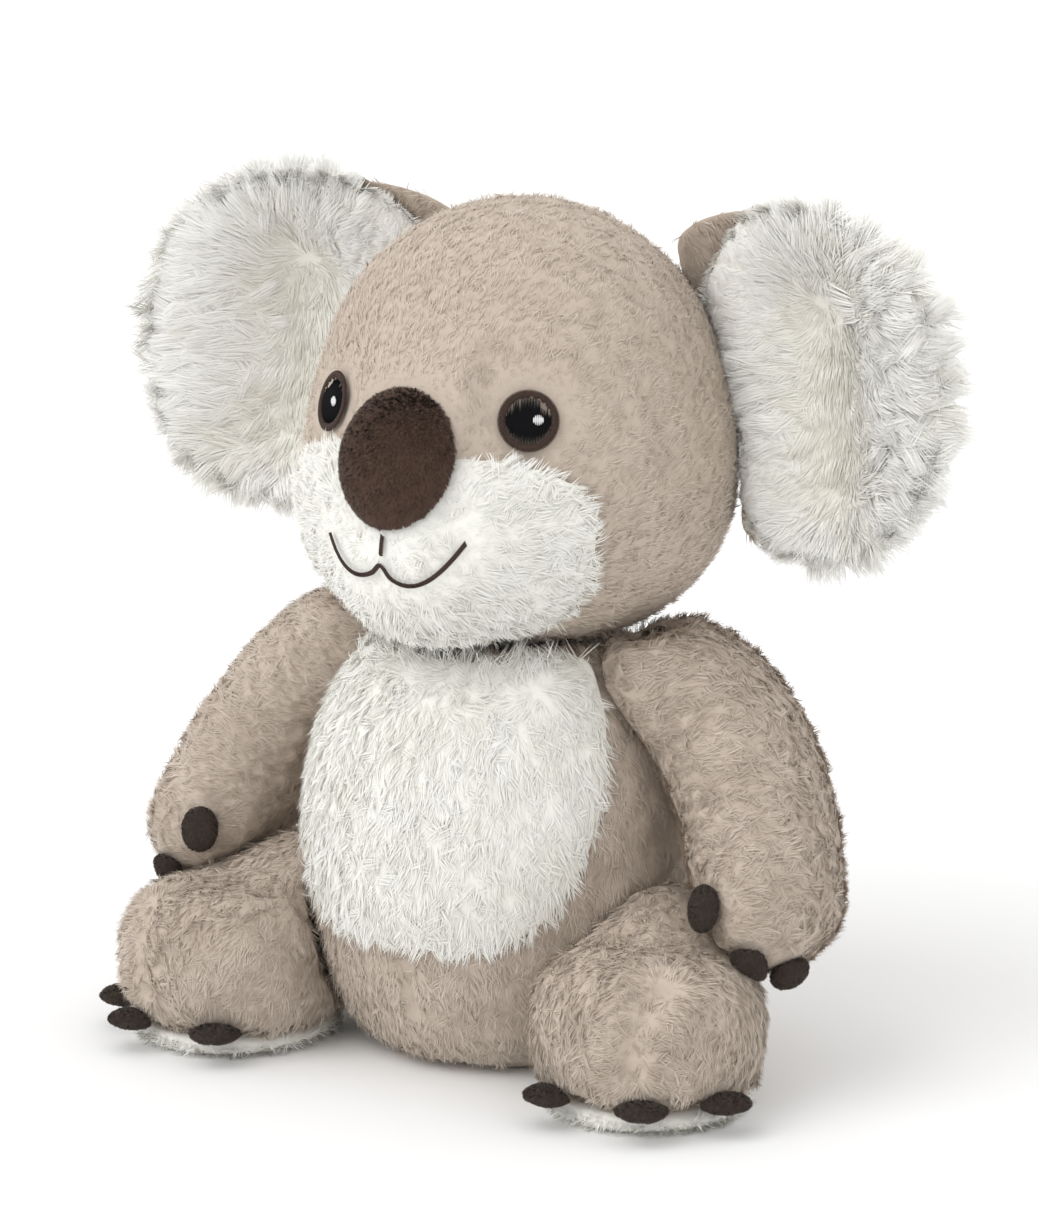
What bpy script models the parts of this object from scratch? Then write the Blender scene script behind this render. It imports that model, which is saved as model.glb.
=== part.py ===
"""A sitting plush koala, built as separate covers, panels, fillings and trims.

Metres, +Z up. The koala faces -Y, so its left side is +X. The origin is the centre
of the flat seat under the torso. Every soft body is a form that swells and tapers
round its own centre: its surface is found along rays that leave that centre, and it
stops short of whatever larger form it leans on.
"""
import math

import bpy
import numpy as np

# Clearances and cloth
SEAM_GAP = 0.0003
PANEL_GAP = 0.0007
LIMB_GAP = 0.0008
FILLING_GAP = 0.0009
COVER_THICKNESS = 0.003
RAY_REACH = 0.16
RAY_STEPS = 40
ROOT_STEPS = 18
PUSH_ROUNDS = 8

# Torso
TORSO_HALF_WIDTH = 0.060
TORSO_RISE = 0.0785
TORSO_DROP = 0.0745
TORSO_RISE_POWER = 2.2
TORSO_DROP_POWER = 2.6
SEAT_RADIUS = 0.040
TORSO_NECK_RADIUS = 0.036
TORSO_OPENING_RADIUS = 0.026

# Pellet pouch in the seat
POUCH_RADIUS = 0.038
POUCH_HEIGHT = 0.026
POUCH_POWER = 2.6

# Head
HEAD_HALF_WIDTH = 0.0665
HEAD_RISE = 0.078
HEAD_DROP = 0.055
HEAD_RISE_POWER = 2.0
HEAD_DROP_POWER = 2.3
HEAD_NECK_RADIUS = 0.030
HEAD_OPENING_RADIUS = 0.021
HEAD_BACK = 0.010

# Muzzle panel
MUZZLE_HALF_ANGLE = 50.0
MUZZLE_HALF_HEIGHT = 0.0282
MUZZLE_BELOW = 0.0164
MUZZLE_POWER = 3.5
MUZZLE_EDGE = 0.0018
MUZZLE_RING_POWER = 0.9
MUZZLE_CHEEK = 0.0055
MUZZLE_CHEEK_POWER = 6.0
SNOUT_RADIUS = 0.028
SNOUT_FORWARD = 0.051
SNOUT_BELOW = 0.0200
SNOUT_BLEND = 0.010

# Nose
NOSE_HALF_WIDTH = 0.0186
NOSE_HALF_HEIGHT = 0.0212
NOSE_HALF_DEPTH = 0.0130
NOSE_FORWARD = 0.0700
NOSE_ABOVE = 0.0114
NOSE_LEAN = 23.0
NOSE_EDGE = 0.0015
NOSE_EDGE_SHARE = 0.5

# Stitched mouth and philtrum
THREAD_WIDTH = 0.0015
THREAD_THICKNESS = 0.0008
MOUTH_HALF_WIDTH = 0.0245
MOUTH_BELOW = 0.0176
MOUTH_DEPTH = 0.0740
MOUTH_HANG = 0.0062
MOUTH_RISE = 0.0052
MOUTH_RIGHT_SHARE = 0.70
MOUTH_HANG_POWER = 0.8
MOUTH_RISE_POWER = 2.5
PHILTRUM_ABOVE = 0.0030
PHILTRUM_HEIGHT = 0.0048

# Eyes
EYE_SIDE = 0.0318
EYE_FORWARD = 0.0495
EYE_ABOVE = 0.0210
EYE_RADIUS = 0.0092
PUPIL_RADIUS = 0.0067
GLINT_RADIUS = 0.0015
GLINT_SIDE = 0.0028
GLINT_UP = 0.0003
EYE_THICKNESS = 0.0010
GLINT_THICKNESS = 0.0004
EYE_HOLLOW = 0.0020
EYE_HOLLOW_RADIUS = 0.0160

# Ears
EAR_HALF_WIDTH = 0.0590
EAR_HALF_HEIGHT = 0.0510
EAR_OUT = 0.0848
EAR_ABOVE = 0.0278
EAR_BACK = 0.0330
EAR_TURN = -12.0
EAR_POWER = 2.2
EAR_INNER_POWER = 2.8
EAR_DISH = 0.0150
EAR_WRAP = 0.26
EAR_WRAP_ANGLES = (138.0, 234.0)
EAR_WRAP_SPREAD = 32.0
EAR_FRONT_THICKNESS = 0.0065
EAR_BACK_THICKNESS = 0.0050
EAR_ROUNDING_POWER = 6.0
EAR_RING_POWER = 0.7
EAR_EDGE_SHARE = 0.12
EAR_FOLD_BACK = 15.0
EAR_FOLD_FORWARD = 10.0
EAR_CLEAR_FOLDS = 9
EAR_GAP = 0.0006
EAR_LAYER_GAP = 0.0006

# Belly panel
BELLY_BOTTOM = 0.0435
BELLY_TOP_MARGIN = 0.0025
BELLY_HALF_ANGLE = 71.0
BELLY_TAPER_POWER = 0.24
BELLY_EDGE = 0.0012
BELLY_CROWN = 0.0030
BELLY_CROWN_POWER = 6.0
BELLY_FIRST_SHARE = 0.35
BELLY_CLEAR_ANGLE = 4.0
BELLY_CLEAR_SHARE = 0.04
BELLY_ROW_POWER = 1.6

# Arms
ARM_LEVEL = 0.1205
ARM_AZIMUTH = 95.0
ARM_STANDOFF = 0.0095
SHOULDER_RADIUS = 0.0180
ELBOW_RADIUS = 0.0225
PAW_RADIUS = 0.0198
PAW_OUTSIDE = 0.0245
PAW_BEHIND = 0.0300
PAW_ABOVE = 0.0348
ELBOW_OUT_SHARE = 0.62
ELBOW_BACK = 0.0100
ELBOW_DOWN_SHARE = 0.22
ARM_BREADTH = 0.0050
ARM_BLEND = 0.0040
ARM_BEND_STEPS = 6
ARM_STRETCH = 2.4
ARM_OPENING_SHARE = 0.09
ARM_PIVOT_ABOVE = 0.006
ARM_LIFT = 30.0
ARM_CLEAR_LIFTS = 4

# Legs
HIP_AZIMUTH = 78.0
HIP_LEVEL = 0.031
HIP_STANDOFF = 0.0060
THIGH_RADIUS = 0.0260
THIGH_RISE = 0.0290
THIGH_DROP = 0.0260
THIGH_POWER = 2.2
FOOT_OUT = 0.0120
FOOT_FORWARD = 0.0280
FOOT_RADIUS = 0.0345
FOOT_RISE = 0.0250
FOOT_DROP = 0.0250
FOOT_POWER = 3.0
LEG_BLEND = 0.014
LEG_SWING_IN = 8.0
LEG_SWING_OUT = 1.0
LEG_CLEAR_SWINGS = 4
LEG_PIVOT_SHARE = 0.25
LEG_STRETCH = 1.0
LEG_OPENING_SHARE = 0.10

# Soles
SOLE_THICKNESS = 0.0070
SOLE_FLAT_DEPTH = 0.0005
SOLE_BOTTOM_SHARE = 0.96
SOLE_MIDDLE_SHARE = 1.03
SOLE_MARGIN = 0.0010

# Claws
CLAW_HALF_LENGTH = 0.0088
CLAW_HALF_WIDTH = 0.0064
CLAW_HALF_THICKNESS = 0.0030
TOE_CLAW_HALF_LENGTH = 0.0090
TOE_CLAW_HALF_WIDTH = 0.0092
TOE_CLAW_HALF_THICKNESS = 0.0028
CLAW_RISE = 0.0016
CLAW_DROP = 0.0030
TOE_CLAW_RISE = 0.0020
TOE_CLAW_LEVEL = 0.0100
TOE_AZIMUTHS = {"inner": -25.0, "middle": 27.0, "outer": 70.0}
HAND_CLAW_PLACES = {
    "inner": (-20.0, 12.0),
    "middle": (12.0, -25.0),
    "outer": (50.0, -40.0),
}

# Mesh counts
BODY_SEGMENTS = 32
BODY_RINGS = 16
ARM_SEGMENTS = 28
ARM_RINGS = 16
LEG_SEGMENTS = 36
LEG_RINGS = 18
CAVITY_RINGS = 7
TRIM_SEGMENTS = 14
TRIM_RINGS = 7
POUCH_SEGMENTS = 12
POUCH_RINGS = 6
NOSE_SEGMENTS = 18
NOSE_RINGS = 9
MUZZLE_SEGMENTS = 28
MUZZLE_RINGS = 7
EYE_SEGMENTS = 20
EYE_RINGS = 2
GLINT_SEGMENTS = 8
EAR_SEGMENTS = 32
EAR_RINGS = 5
BELLY_ROWS = 11
BELLY_COLUMNS = 14
MOUTH_STEPS = 9
SOLE_SEGMENTS = 28

# Colours, from the photograph, as linear red, green and blue
TAUPE = (0.50, 0.42, 0.35)
WHITE = (0.78, 0.76, 0.72)
BROWN_VELOUR = (0.060, 0.036, 0.027)
BROWN_FELT = (0.050, 0.036, 0.030)
BROWN_THREAD = (0.045, 0.026, 0.020)
BLACK_THREAD = (0.010, 0.010, 0.011)
WHITE_THREAD = (0.80, 0.80, 0.78)
FIBRE = (0.86, 0.86, 0.85)
POUCH_CLOTH = (0.70, 0.68, 0.62)
CLOTH_ROUGHNESS = 0.9
THREAD_ROUGHNESS = 0.55

UP = np.array([0.0, 0.0, 1.0])
OUT = np.array([1.0, 0.0, 0.0])
BACKWARD = np.array([0.0, 1.0, 0.0])


def unit(vectors):
    """Vectors scaled to length one."""
    vectors = np.asarray(vectors, dtype=float)
    return vectors / np.linalg.norm(vectors, axis=-1, keepdims=True)


def turned(points, pivot, axis, degrees):
    """Points turned about an axis through a pivot, by the right-hand rule."""
    angle = math.radians(degrees)
    axis = unit(axis)
    away = points - pivot
    along = (away @ axis)[..., None] * axis
    across = np.cross(axis, away)
    return pivot + along + (away - along) * math.cos(angle) + across * math.sin(angle)


def superball_reach(directions, half_width, rise, drop, rise_power, drop_power):
    """How far a round form that is taller above than below reaches each way."""
    level = directions[..., 2]
    wide = np.linalg.norm(directions[..., :2], axis=-1)
    power = np.where(level > 0.0, rise_power, drop_power)
    tall = np.where(level > 0.0, rise, drop)
    bulk = (wide / half_width) ** power + (np.abs(level) / tall) ** power
    return bulk ** (-1.0 / power)


def depth_at_radius(radius, half_width, height, power):
    """How far from its widest level such a form has narrowed to a radius."""
    return height * (1.0 - (radius / half_width) ** power) ** (1.0 / power)


def radius_at_depth(depth, half_width, height, power):
    """The radius of such a form at a distance from its widest level."""
    return half_width * (1.0 - (abs(depth) / height) ** power) ** (1.0 / power)


def rounded_max(first, second, blend):
    """The larger of two values, with a rounded corner where they meet."""
    share = np.clip(1.0 - np.abs(first - second) / blend, 0.0, 1.0)
    return np.maximum(first, second) + blend * share * share / 4.0


def rounded_min(first, second, blend):
    """The smaller of two values, with a rounded corner where they meet."""
    return -rounded_max(-first, -second, blend)


def ellipsoid_field(points, centre, axes, sizes):
    """About how far points lie outside an ellipsoid with these axes."""
    local = (points - centre) @ np.stack(axes).T
    sizes = np.asarray(sizes)
    near = np.linalg.norm(local / sizes, axis=-1)
    slope = np.linalg.norm(local / sizes**2, axis=-1)
    return near * (near - 1.0) / np.maximum(slope, 1.0)


def taper_field(points, start, end, start_radius, end_radius):
    """How far points lie outside a round bar that changes radius along its line."""
    line = end - start
    share = np.clip((points - start) @ line / (line @ line), 0.0, 1.0)
    nearest = start + share[..., None] * line
    radius = start_radius + (end_radius - start_radius) * share
    return np.linalg.norm(points - nearest, axis=-1) - radius


# The torso's levels follow from the radii of its seat and its neck.
TORSO_LEVEL = depth_at_radius(SEAT_RADIUS, TORSO_HALF_WIDTH, TORSO_DROP, TORSO_DROP_POWER)
TORSO_TOP = TORSO_LEVEL + depth_at_radius(
    TORSO_NECK_RADIUS, TORSO_HALF_WIDTH, TORSO_RISE, TORSO_RISE_POWER
)
TORSO_CENTRE = np.array([0.0, 0.0, TORSO_LEVEL])

# The head's flat neck rests on the torso's flat top.
HEAD_NECK_DEPTH = depth_at_radius(HEAD_NECK_RADIUS, HEAD_HALF_WIDTH, HEAD_DROP, HEAD_DROP_POWER)
HEAD_CENTRE = np.array([0.0, HEAD_BACK, TORSO_TOP + SEAM_GAP + HEAD_NECK_DEPTH])


def torso_reach(directions):
    """How far the torso reaches from its centre, with its seat and neck cut flat."""
    reach = superball_reach(
        directions, TORSO_HALF_WIDTH, TORSO_RISE, TORSO_DROP, TORSO_RISE_POWER, TORSO_DROP_POWER
    )
    level = directions[..., 2]
    flat = np.where(level > 0.0, TORSO_TOP - TORSO_LEVEL, TORSO_LEVEL)
    with np.errstate(divide="ignore"):
        return np.minimum(reach, flat / np.abs(level))


def torso_field(points):
    """How far points lie outside the torso, along rays from its centre."""
    away = points - TORSO_CENTRE
    return np.linalg.norm(away, axis=-1) - torso_reach(unit(away))


def belly_half_angle(share):
    """How far round the torso the belly panel runs, at a share of its height."""
    return BELLY_HALF_ANGLE * np.clip(share, 0.0, 1.0) ** BELLY_TAPER_POWER


def dressed_reach(directions):
    """How far the torso reaches, with a smooth swell where its belly panel lies on it."""
    reach = torso_reach(directions)
    level = TORSO_LEVEL + directions[..., 2] * reach
    share = (level - BELLY_BOTTOM) / (TORSO_TOP - BELLY_TOP_MARGIN - BELLY_BOTTOM)
    azimuth = np.degrees(np.arctan2(np.abs(directions[..., 0]), -directions[..., 1]))
    above = np.clip(1.0 + share / BELLY_CLEAR_SHARE, 0.0, 1.0)
    half = belly_half_angle(share + BELLY_CLEAR_SHARE) + BELLY_CLEAR_ANGLE
    beside = np.clip(1.0 + (half - azimuth) / BELLY_CLEAR_ANGLE, 0.0, 1.0)
    return reach + above * beside * (PANEL_GAP + BELLY_CROWN)


def eye_direction(side):
    """The way from the head's centre to an eye."""
    return unit([side * EYE_SIDE, -EYE_FORWARD, EYE_ABOVE])


def head_reach(directions):
    """How far the head reaches from its centre, with its eye hollows and flat neck."""
    reach = superball_reach(
        directions, HEAD_HALF_WIDTH, HEAD_RISE, HEAD_DROP, HEAD_RISE_POWER, HEAD_DROP_POWER
    )
    for side in (1.0, -1.0):
        angle = np.arccos(np.clip(directions @ eye_direction(side), -1.0, 1.0))
        reach = reach - EYE_HOLLOW * np.exp(-((angle * HEAD_HALF_WIDTH / EYE_HOLLOW_RADIUS) ** 2))
    level = directions[..., 2]
    with np.errstate(divide="ignore"):
        flat = np.where(level < 0.0, HEAD_NECK_DEPTH / np.abs(level), RAY_REACH)
    return np.minimum(reach, flat)


def head_field(points):
    """How far points lie outside the head, along rays from its centre."""
    away = points - HEAD_CENTRE
    return np.linalg.norm(away, axis=-1) - head_reach(unit(away))


def muzzle_share(directions):
    """Where a direction meets the muzzle panel: 0 at its middle, 1 at its edge."""
    reach = head_reach(directions)
    spot = directions * reach[..., None]
    azimuth = np.degrees(np.arctan2(spot[..., 0], -spot[..., 1]))
    wide = np.abs(azimuth) / MUZZLE_HALF_ANGLE
    tall = np.abs(spot[..., 2] + MUZZLE_BELOW) / MUZZLE_HALF_HEIGHT
    return (wide**MUZZLE_POWER + tall**MUZZLE_POWER) ** (1.0 / MUZZLE_POWER)


def muzzle_reach(directions):
    """How far the muzzle panel's outer face reaches: full cheeks and a round snout."""
    share = np.clip(muzzle_share(directions), 0.0, 1.0)
    swell = MUZZLE_EDGE + (MUZZLE_CHEEK - MUZZLE_EDGE) * (1.0 - share**MUZZLE_CHEEK_POWER)
    cheek = head_reach(directions) + PANEL_GAP + swell
    snout = np.array([0.0, -SNOUT_FORWARD, -SNOUT_BELOW])
    along = directions @ snout
    inside = SNOUT_RADIUS**2 - snout @ snout + along**2
    ball = along + np.sqrt(np.maximum(inside, 0.0))
    raised = rounded_max(cheek, np.where(inside > 0.0, ball, 0.0), SNOUT_BLEND)
    settle = np.clip((1.0 - share) * MUZZLE_CHEEK_POWER, 0.0, 1.0)
    return cheek + (raised - cheek) * settle * settle * (3.0 - 2.0 * settle)


def torso_surface(azimuth, level, standoff):
    """A point off the torso's side: azimuth runs from the front to the koala's left."""
    height = TORSO_RISE if level > TORSO_LEVEL else TORSO_DROP
    power = TORSO_RISE_POWER if level > TORSO_LEVEL else TORSO_DROP_POWER
    radius = radius_at_depth(level - TORSO_LEVEL, TORSO_HALF_WIDTH, height, power) + standoff
    angle = math.radians(azimuth)
    return np.array([radius * math.sin(angle), -radius * math.cos(angle), level])


# The left leg: its foot stands beside the hip, flat on the ground.
HIP = torso_surface(HIP_AZIMUTH, HIP_LEVEL, HIP_STANDOFF)
FOOT = np.array([HIP[0] + FOOT_OUT, HIP[1] - FOOT_FORWARD, FOOT_DROP - SOLE_FLAT_DEPTH])
LEG_CENTRE = (HIP + FOOT) / 2.0
LEG_PIVOT = np.array([HIP[0] * LEG_PIVOT_SHARE, 0.0, HIP_LEVEL])
LEG_AXIS = UP

# The left arm: from the shoulder, past the elbow, to a paw that hangs over the foot.
SHOULDER = torso_surface(ARM_AZIMUTH, ARM_LEVEL, ARM_STANDOFF)
PAW = FOOT + np.array([PAW_OUTSIDE, PAW_BEHIND, PAW_ABOVE])
ELBOW = SHOULDER + (PAW - SHOULDER) * (ELBOW_OUT_SHARE, 0.0, ELBOW_DOWN_SHARE)
ELBOW = ELBOW + BACKWARD * ELBOW_BACK
ARM_CENTRE = (SHOULDER + PAW) / 2.0
ARM_PIVOT = torso_surface(ARM_AZIMUTH, ARM_LEVEL + ARM_PIVOT_ABOVE, 0.0)
ARM_AXIS = unit(np.cross(PAW - SHOULDER, UP))

# The left ear: a dish that faces forward and a little inward.
EAR_ACROSS = np.array([math.cos(math.radians(EAR_TURN)), math.sin(math.radians(EAR_TURN)), 0.0])
EAR_FACING = np.array([math.sin(math.radians(EAR_TURN)), -math.cos(math.radians(EAR_TURN)), 0.0])
EAR_CENTRE = HEAD_CENTRE + np.array([EAR_OUT, EAR_BACK, EAR_ABOVE])
EAR_AXIS = -UP


def ball_form(points, centre, radius, rise, drop, power):
    """About how far points lie outside a round form with a flatter top and bottom."""
    away = points - centre
    reach = superball_reach(unit(away), radius, rise, drop, power, power)
    return np.linalg.norm(away, axis=-1) - reach


def leg_field(points):
    """How far points lie outside the left leg: a round foot blended into a thigh."""
    thigh = ball_form(points, HIP, THIGH_RADIUS, THIGH_RISE, THIGH_DROP, THIGH_POWER)
    foot = ball_form(points, FOOT, FOOT_RADIUS, FOOT_RISE, FOOT_DROP, FOOT_POWER)
    return rounded_min(thigh, foot, LEG_BLEND)


def arm_spine(share):
    """A point on the arm's bent middle line, and the arm's radius there."""
    ends = (1.0 - share) ** 2, 2.0 * share * (1.0 - share), share**2
    point = ends[0] * SHOULDER + ends[1] * ELBOW + ends[2] * PAW
    radius = ends[0] * SHOULDER_RADIUS + ends[1] * ELBOW_RADIUS + ends[2] * PAW_RADIUS
    return point, radius


def arm_field(points):
    """How far points lie outside the left arm, a bent bar, broad from front to back."""
    stops = [arm_spine(step / ARM_BEND_STEPS) for step in range(ARM_BEND_STEPS + 1)]

    def bar(spots):
        parts = [
            taper_field(spots, start, end, start_radius, end_radius)
            for (start, start_radius), (end, end_radius) in zip(stops, stops[1:])
        ]
        return np.min(parts, axis=0)

    shift = BACKWARD * ARM_BREADTH
    return rounded_min(bar(points + shift), bar(points - shift), ARM_BLEND)


def above_sole(points):
    """How far points lie below the seam between the foot and its sole."""
    return SOLE_THICKNESS - points[..., 2]


def swept(field, pivot, axis, angles):
    """A neighbour's field, as a piece that turns about a pivot meets it at each angle."""

    def nearest(points):
        return np.min([field(turned(points, pivot, axis, angle)) for angle in angles], axis=0)

    return nearest


ARM_LIFTS = np.linspace(0.0, ARM_LIFT, ARM_CLEAR_LIFTS)
LEG_SWINGS = np.linspace(-LEG_SWING_IN, LEG_SWING_OUT, LEG_CLEAR_SWINGS)
EAR_FOLDS = np.linspace(-EAR_FOLD_BACK, EAR_FOLD_FORWARD, EAR_CLEAR_FOLDS)
SWUNG_LEG = swept(leg_field, LEG_PIVOT, LEG_AXIS, -LEG_SWINGS)

# What each turning piece is pushed out of: its centre, its reach, and the turns.
TORSO_BY_LEG = (TORSO_CENTRE, dressed_reach, LEG_PIVOT, LEG_AXIS, LEG_SWINGS)
TORSO_BY_ARM = (TORSO_CENTRE, torso_reach, ARM_PIVOT, ARM_AXIS, ARM_LIFTS)
HEAD_BY_ARM = (HEAD_CENTRE, head_reach, ARM_PIVOT, ARM_AXIS, ARM_LIFTS)


def pushed(points, obstacles, clearance):
    """Points pushed straight out of each obstacle, at every angle that they turn to."""
    for _ in range(PUSH_ROUNDS):
        for centre, reach, pivot, axis, angles in obstacles:
            for angle in (*angles, 0.0):
                away = turned(points, pivot, axis, angle) - centre
                ways = unit(away)
                size = np.maximum(np.linalg.norm(away, axis=-1), reach(ways) + clearance)
                points = turned(centre + ways * size[..., None], pivot, axis, -angle)
    return points


def ray_reach(directions, centre, form, neighbours, gap, inset):
    """How far rays from a centre run before they leave a form or meet a neighbour."""

    def outside(distances):
        points = centre + directions * distances[..., None]
        values = [form(points) + inset]
        values += [gap + inset - neighbour(points) for neighbour in neighbours]
        return np.max(values, axis=0)

    steps = np.linspace(0.0, RAY_REACH, RAY_STEPS)
    near = np.zeros(directions.shape[:-1])
    far = np.full(directions.shape[:-1], RAY_REACH)
    found = np.zeros(directions.shape[:-1], dtype=bool)
    for step in steps[1:]:
        past = outside(np.full(far.shape, step)) > 0.0
        near = np.where(found | past, near, step)
        far = np.where(past & ~found, step, far)
        found |= past
    for _ in range(ROOT_STEPS):
        middle = (near + far) / 2.0
        past = outside(middle) > 0.0
        far = np.where(past, middle, far)
        near = np.where(past, near, middle)
    return (near + far) / 2.0


def ring_directions(pole, angle, segments, stretch=1.0):
    """One ring of directions at an angle from a pole, spread evenly over a long form."""
    pole = unit(pole)
    side = unit(np.cross(pole, BACKWARD if abs(pole[1]) < abs(pole[2]) else UP))
    other = np.cross(pole, side)
    around = np.arange(segments) * math.tau / segments
    flat = np.cos(around)[:, None] * side + np.sin(around)[:, None] * other
    return unit(stretch * math.cos(angle) * pole + math.sin(angle) * flat)


def placed(centre, reach):
    """Where directions leave a form round a centre, as points."""

    def place(directions):
        return centre + directions * reach(directions)[..., None]

    return place


def link_rings(faces, first, second, flip=False):
    """Triangles between two rings of vertex numbers, the second half as many if need be."""
    count = len(first)
    made = []
    if len(second) == count:
        for index in range(count):
            after = (index + 1) % count
            made.append((first[index], first[after], second[after]))
            made.append((first[index], second[after], second[index]))
    else:
        for index in range(len(second)):
            middle = first[2 * index + 1]
            end = first[(2 * index + 2) % count]
            here = second[index]
            after = second[(index + 1) % len(second)]
            made.append((first[2 * index], middle, here))
            made.append((here, middle, after))
            made.append((middle, end, after))
    faces.extend([face[::-1] for face in made] if flip else made)


def fan(faces, ring, tip):
    """Faces from a ring to a tip."""
    for index in range(len(ring)):
        faces.append((ring[index], ring[(index + 1) % len(ring)], tip))


def ball_mesh(place, pole, segments, rings):
    """A closed form, from the place that each direction leads to."""
    points = [place(unit(pole)[None])[0]]
    faces = []
    rows = []
    for ring in range(1, rings):
        start = len(points)
        points.extend(place(ring_directions(pole, math.pi * ring / rings, segments)))
        rows.append(list(range(start, start + segments)))
    points.append(place(-unit(pole)[None])[0])
    fan(faces, rows[0][::-1], 0)
    for upper, lower in zip(rows, rows[1:]):
        link_rings(faces, upper, lower)
    fan(faces, rows[-1], len(points) - 1)
    return np.array(points), faces


def shell_mesh(outer, inner, pole, segments, rings, opening, stretch=1.0):
    """An open shell: its outer face from the pole to the opening, and its inner face."""
    points = [outer(unit(pole)[None])[0]]
    faces = []
    outer_rows = []
    inner_rows = []
    last = math.pi - opening
    for ring in range(1, rings + 1):
        start = len(points)
        points.extend(outer(ring_directions(pole, last * ring / rings, segments, stretch)))
        outer_rows.append(list(range(start, start + segments)))
    half = segments // 2
    for ring in range(CAVITY_RINGS, 0, -1):
        start = len(points)
        points.extend(inner(ring_directions(pole, last * ring / CAVITY_RINGS, half, stretch)))
        inner_rows.append(list(range(start, start + half)))
    points.append(inner(unit(pole)[None])[0])
    fan(faces, outer_rows[0][::-1], 0)
    for upper, lower in zip(outer_rows, outer_rows[1:]):
        link_rings(faces, upper, lower)
    link_rings(faces, outer_rows[-1], inner_rows[0])
    for lower, upper in zip(inner_rows, inner_rows[1:]):
        link_rings(faces, upper, lower, flip=True)
    fan(faces, inner_rows[-1], len(points) - 1)
    return np.array(points), faces


def filling_mesh(inner, pole, segments, opening, stretch=1.0):
    """A closed filling whose rings match those of the cavity that holds it."""
    points = [inner(unit(pole)[None])[0]]
    faces = []
    rows = []
    last = math.pi - opening
    half = segments // 2
    for ring in range(1, CAVITY_RINGS + 1):
        start = len(points)
        points.extend(inner(ring_directions(pole, last * ring / CAVITY_RINGS, half, stretch)))
        rows.append(list(range(start, start + half)))
    points.append(inner(-unit(pole)[None])[0])
    fan(faces, rows[0][::-1], 0)
    for upper, lower in zip(rows, rows[1:]):
        link_rings(faces, upper, lower)
    fan(faces, rows[-1], len(points) - 1)
    return np.array(points), faces


def panel_mesh(inner, outer, wraps):
    """A closed panel between two grids of points, whose columns may close into rings."""
    rows, columns = inner.shape[:2]
    points = np.concatenate([inner.reshape(-1, 3), outer.reshape(-1, 3)])
    faces = []
    shift = rows * columns

    def place(row, column):
        return row * columns + column % columns

    last = columns if wraps else columns - 1
    for row in range(rows - 1):
        for column in range(last):
            a = place(row, column)
            b = place(row, column + 1)
            c = place(row + 1, column + 1)
            d = place(row + 1, column)
            faces.append((d + shift, c + shift, b + shift, a + shift))
            faces.append((a, b, c, d))
    edges = [(place(0, column), place(0, column + 1)) for column in range(last)]
    edges += [(place(rows - 1, column + 1), place(rows - 1, column)) for column in range(last)]
    if not wraps:
        edges += [(place(row + 1, 0), place(row, 0)) for row in range(rows - 1)]
        end = columns - 1
        edges += [(place(row, end), place(row + 1, end)) for row in range(rows - 1)]
    for a, b in edges:
        faces.append((b, a, a + shift, b + shift))
    return points, faces


def disc_mesh(directions, middle, inner, outer, centre):
    """A closed round patch: rings of directions round a middle, between two reaches."""
    rings, segments = directions.shape[:2]
    points = []
    faces = []
    for reach in (inner, outer):
        points.append(centre + middle * reach(middle[None])[0])
        for ring in range(rings):
            points.extend(centre + directions[ring] * reach(directions[ring])[:, None])
    shift = 1 + rings * segments
    rows = [[1 + ring * segments + step for step in range(segments)] for ring in range(rings)]
    fan(faces, rows[0], 0)
    fan(faces, [number + shift for number in rows[0]][::-1], shift)
    for near, far in zip(rows, rows[1:]):
        link_rings(faces, far, near)
        link_rings(faces, [n + shift for n in near], [n + shift for n in far])
    link_rings(faces, [n + shift for n in rows[-1]], rows[-1])
    return np.array(points), faces


def material(name, colour, roughness):
    """A plain cloth or thread."""
    made = bpy.data.materials.get(name) or bpy.data.materials.new(name)
    made.use_nodes = True
    shader = made.node_tree.nodes["Principled BSDF"]
    shader.inputs["Base Color"].default_value = (*colour, 1.0)
    shader.inputs["Roughness"].default_value = roughness
    shader.inputs["Metallic"].default_value = 0.0
    return made


def add_piece(name, geometry, cloth, pivot):
    """One named piece, with its origin at its pivot and its faces pointing out."""
    points, faces = geometry
    mesh = bpy.data.meshes.new(name)
    mesh.from_pydata([tuple(point) for point in points - pivot], [], faces)
    mesh.validate()
    corners = points[[face[0] for face in faces]]
    seconds = points[[face[1] for face in faces]]
    lasts = points[[face[-1] for face in faces]]
    normals = np.cross(seconds - corners, lasts - corners)
    signed = float(np.sum(normals * (corners - points.mean(axis=0))))
    if signed < 0.0:
        mesh.flip_normals()
    mesh.materials.append(cloth)
    mesh.shade_smooth()
    piece = bpy.data.objects.new(name, mesh)
    piece.location = pivot
    bpy.context.scene.collection.objects.link(piece)
    return piece


def add_pair(name, geometry, cloth, pivot):
    """A piece of the left side and its mirror image on the right side."""
    points, faces = geometry
    flip = np.array([-1.0, 1.0, 1.0])
    add_piece(name + "_left", geometry, cloth, pivot)
    mirrored = (points * flip, [face[::-1] for face in faces])
    add_piece(name + "_right", mirrored, cloth, pivot * flip)


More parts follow.
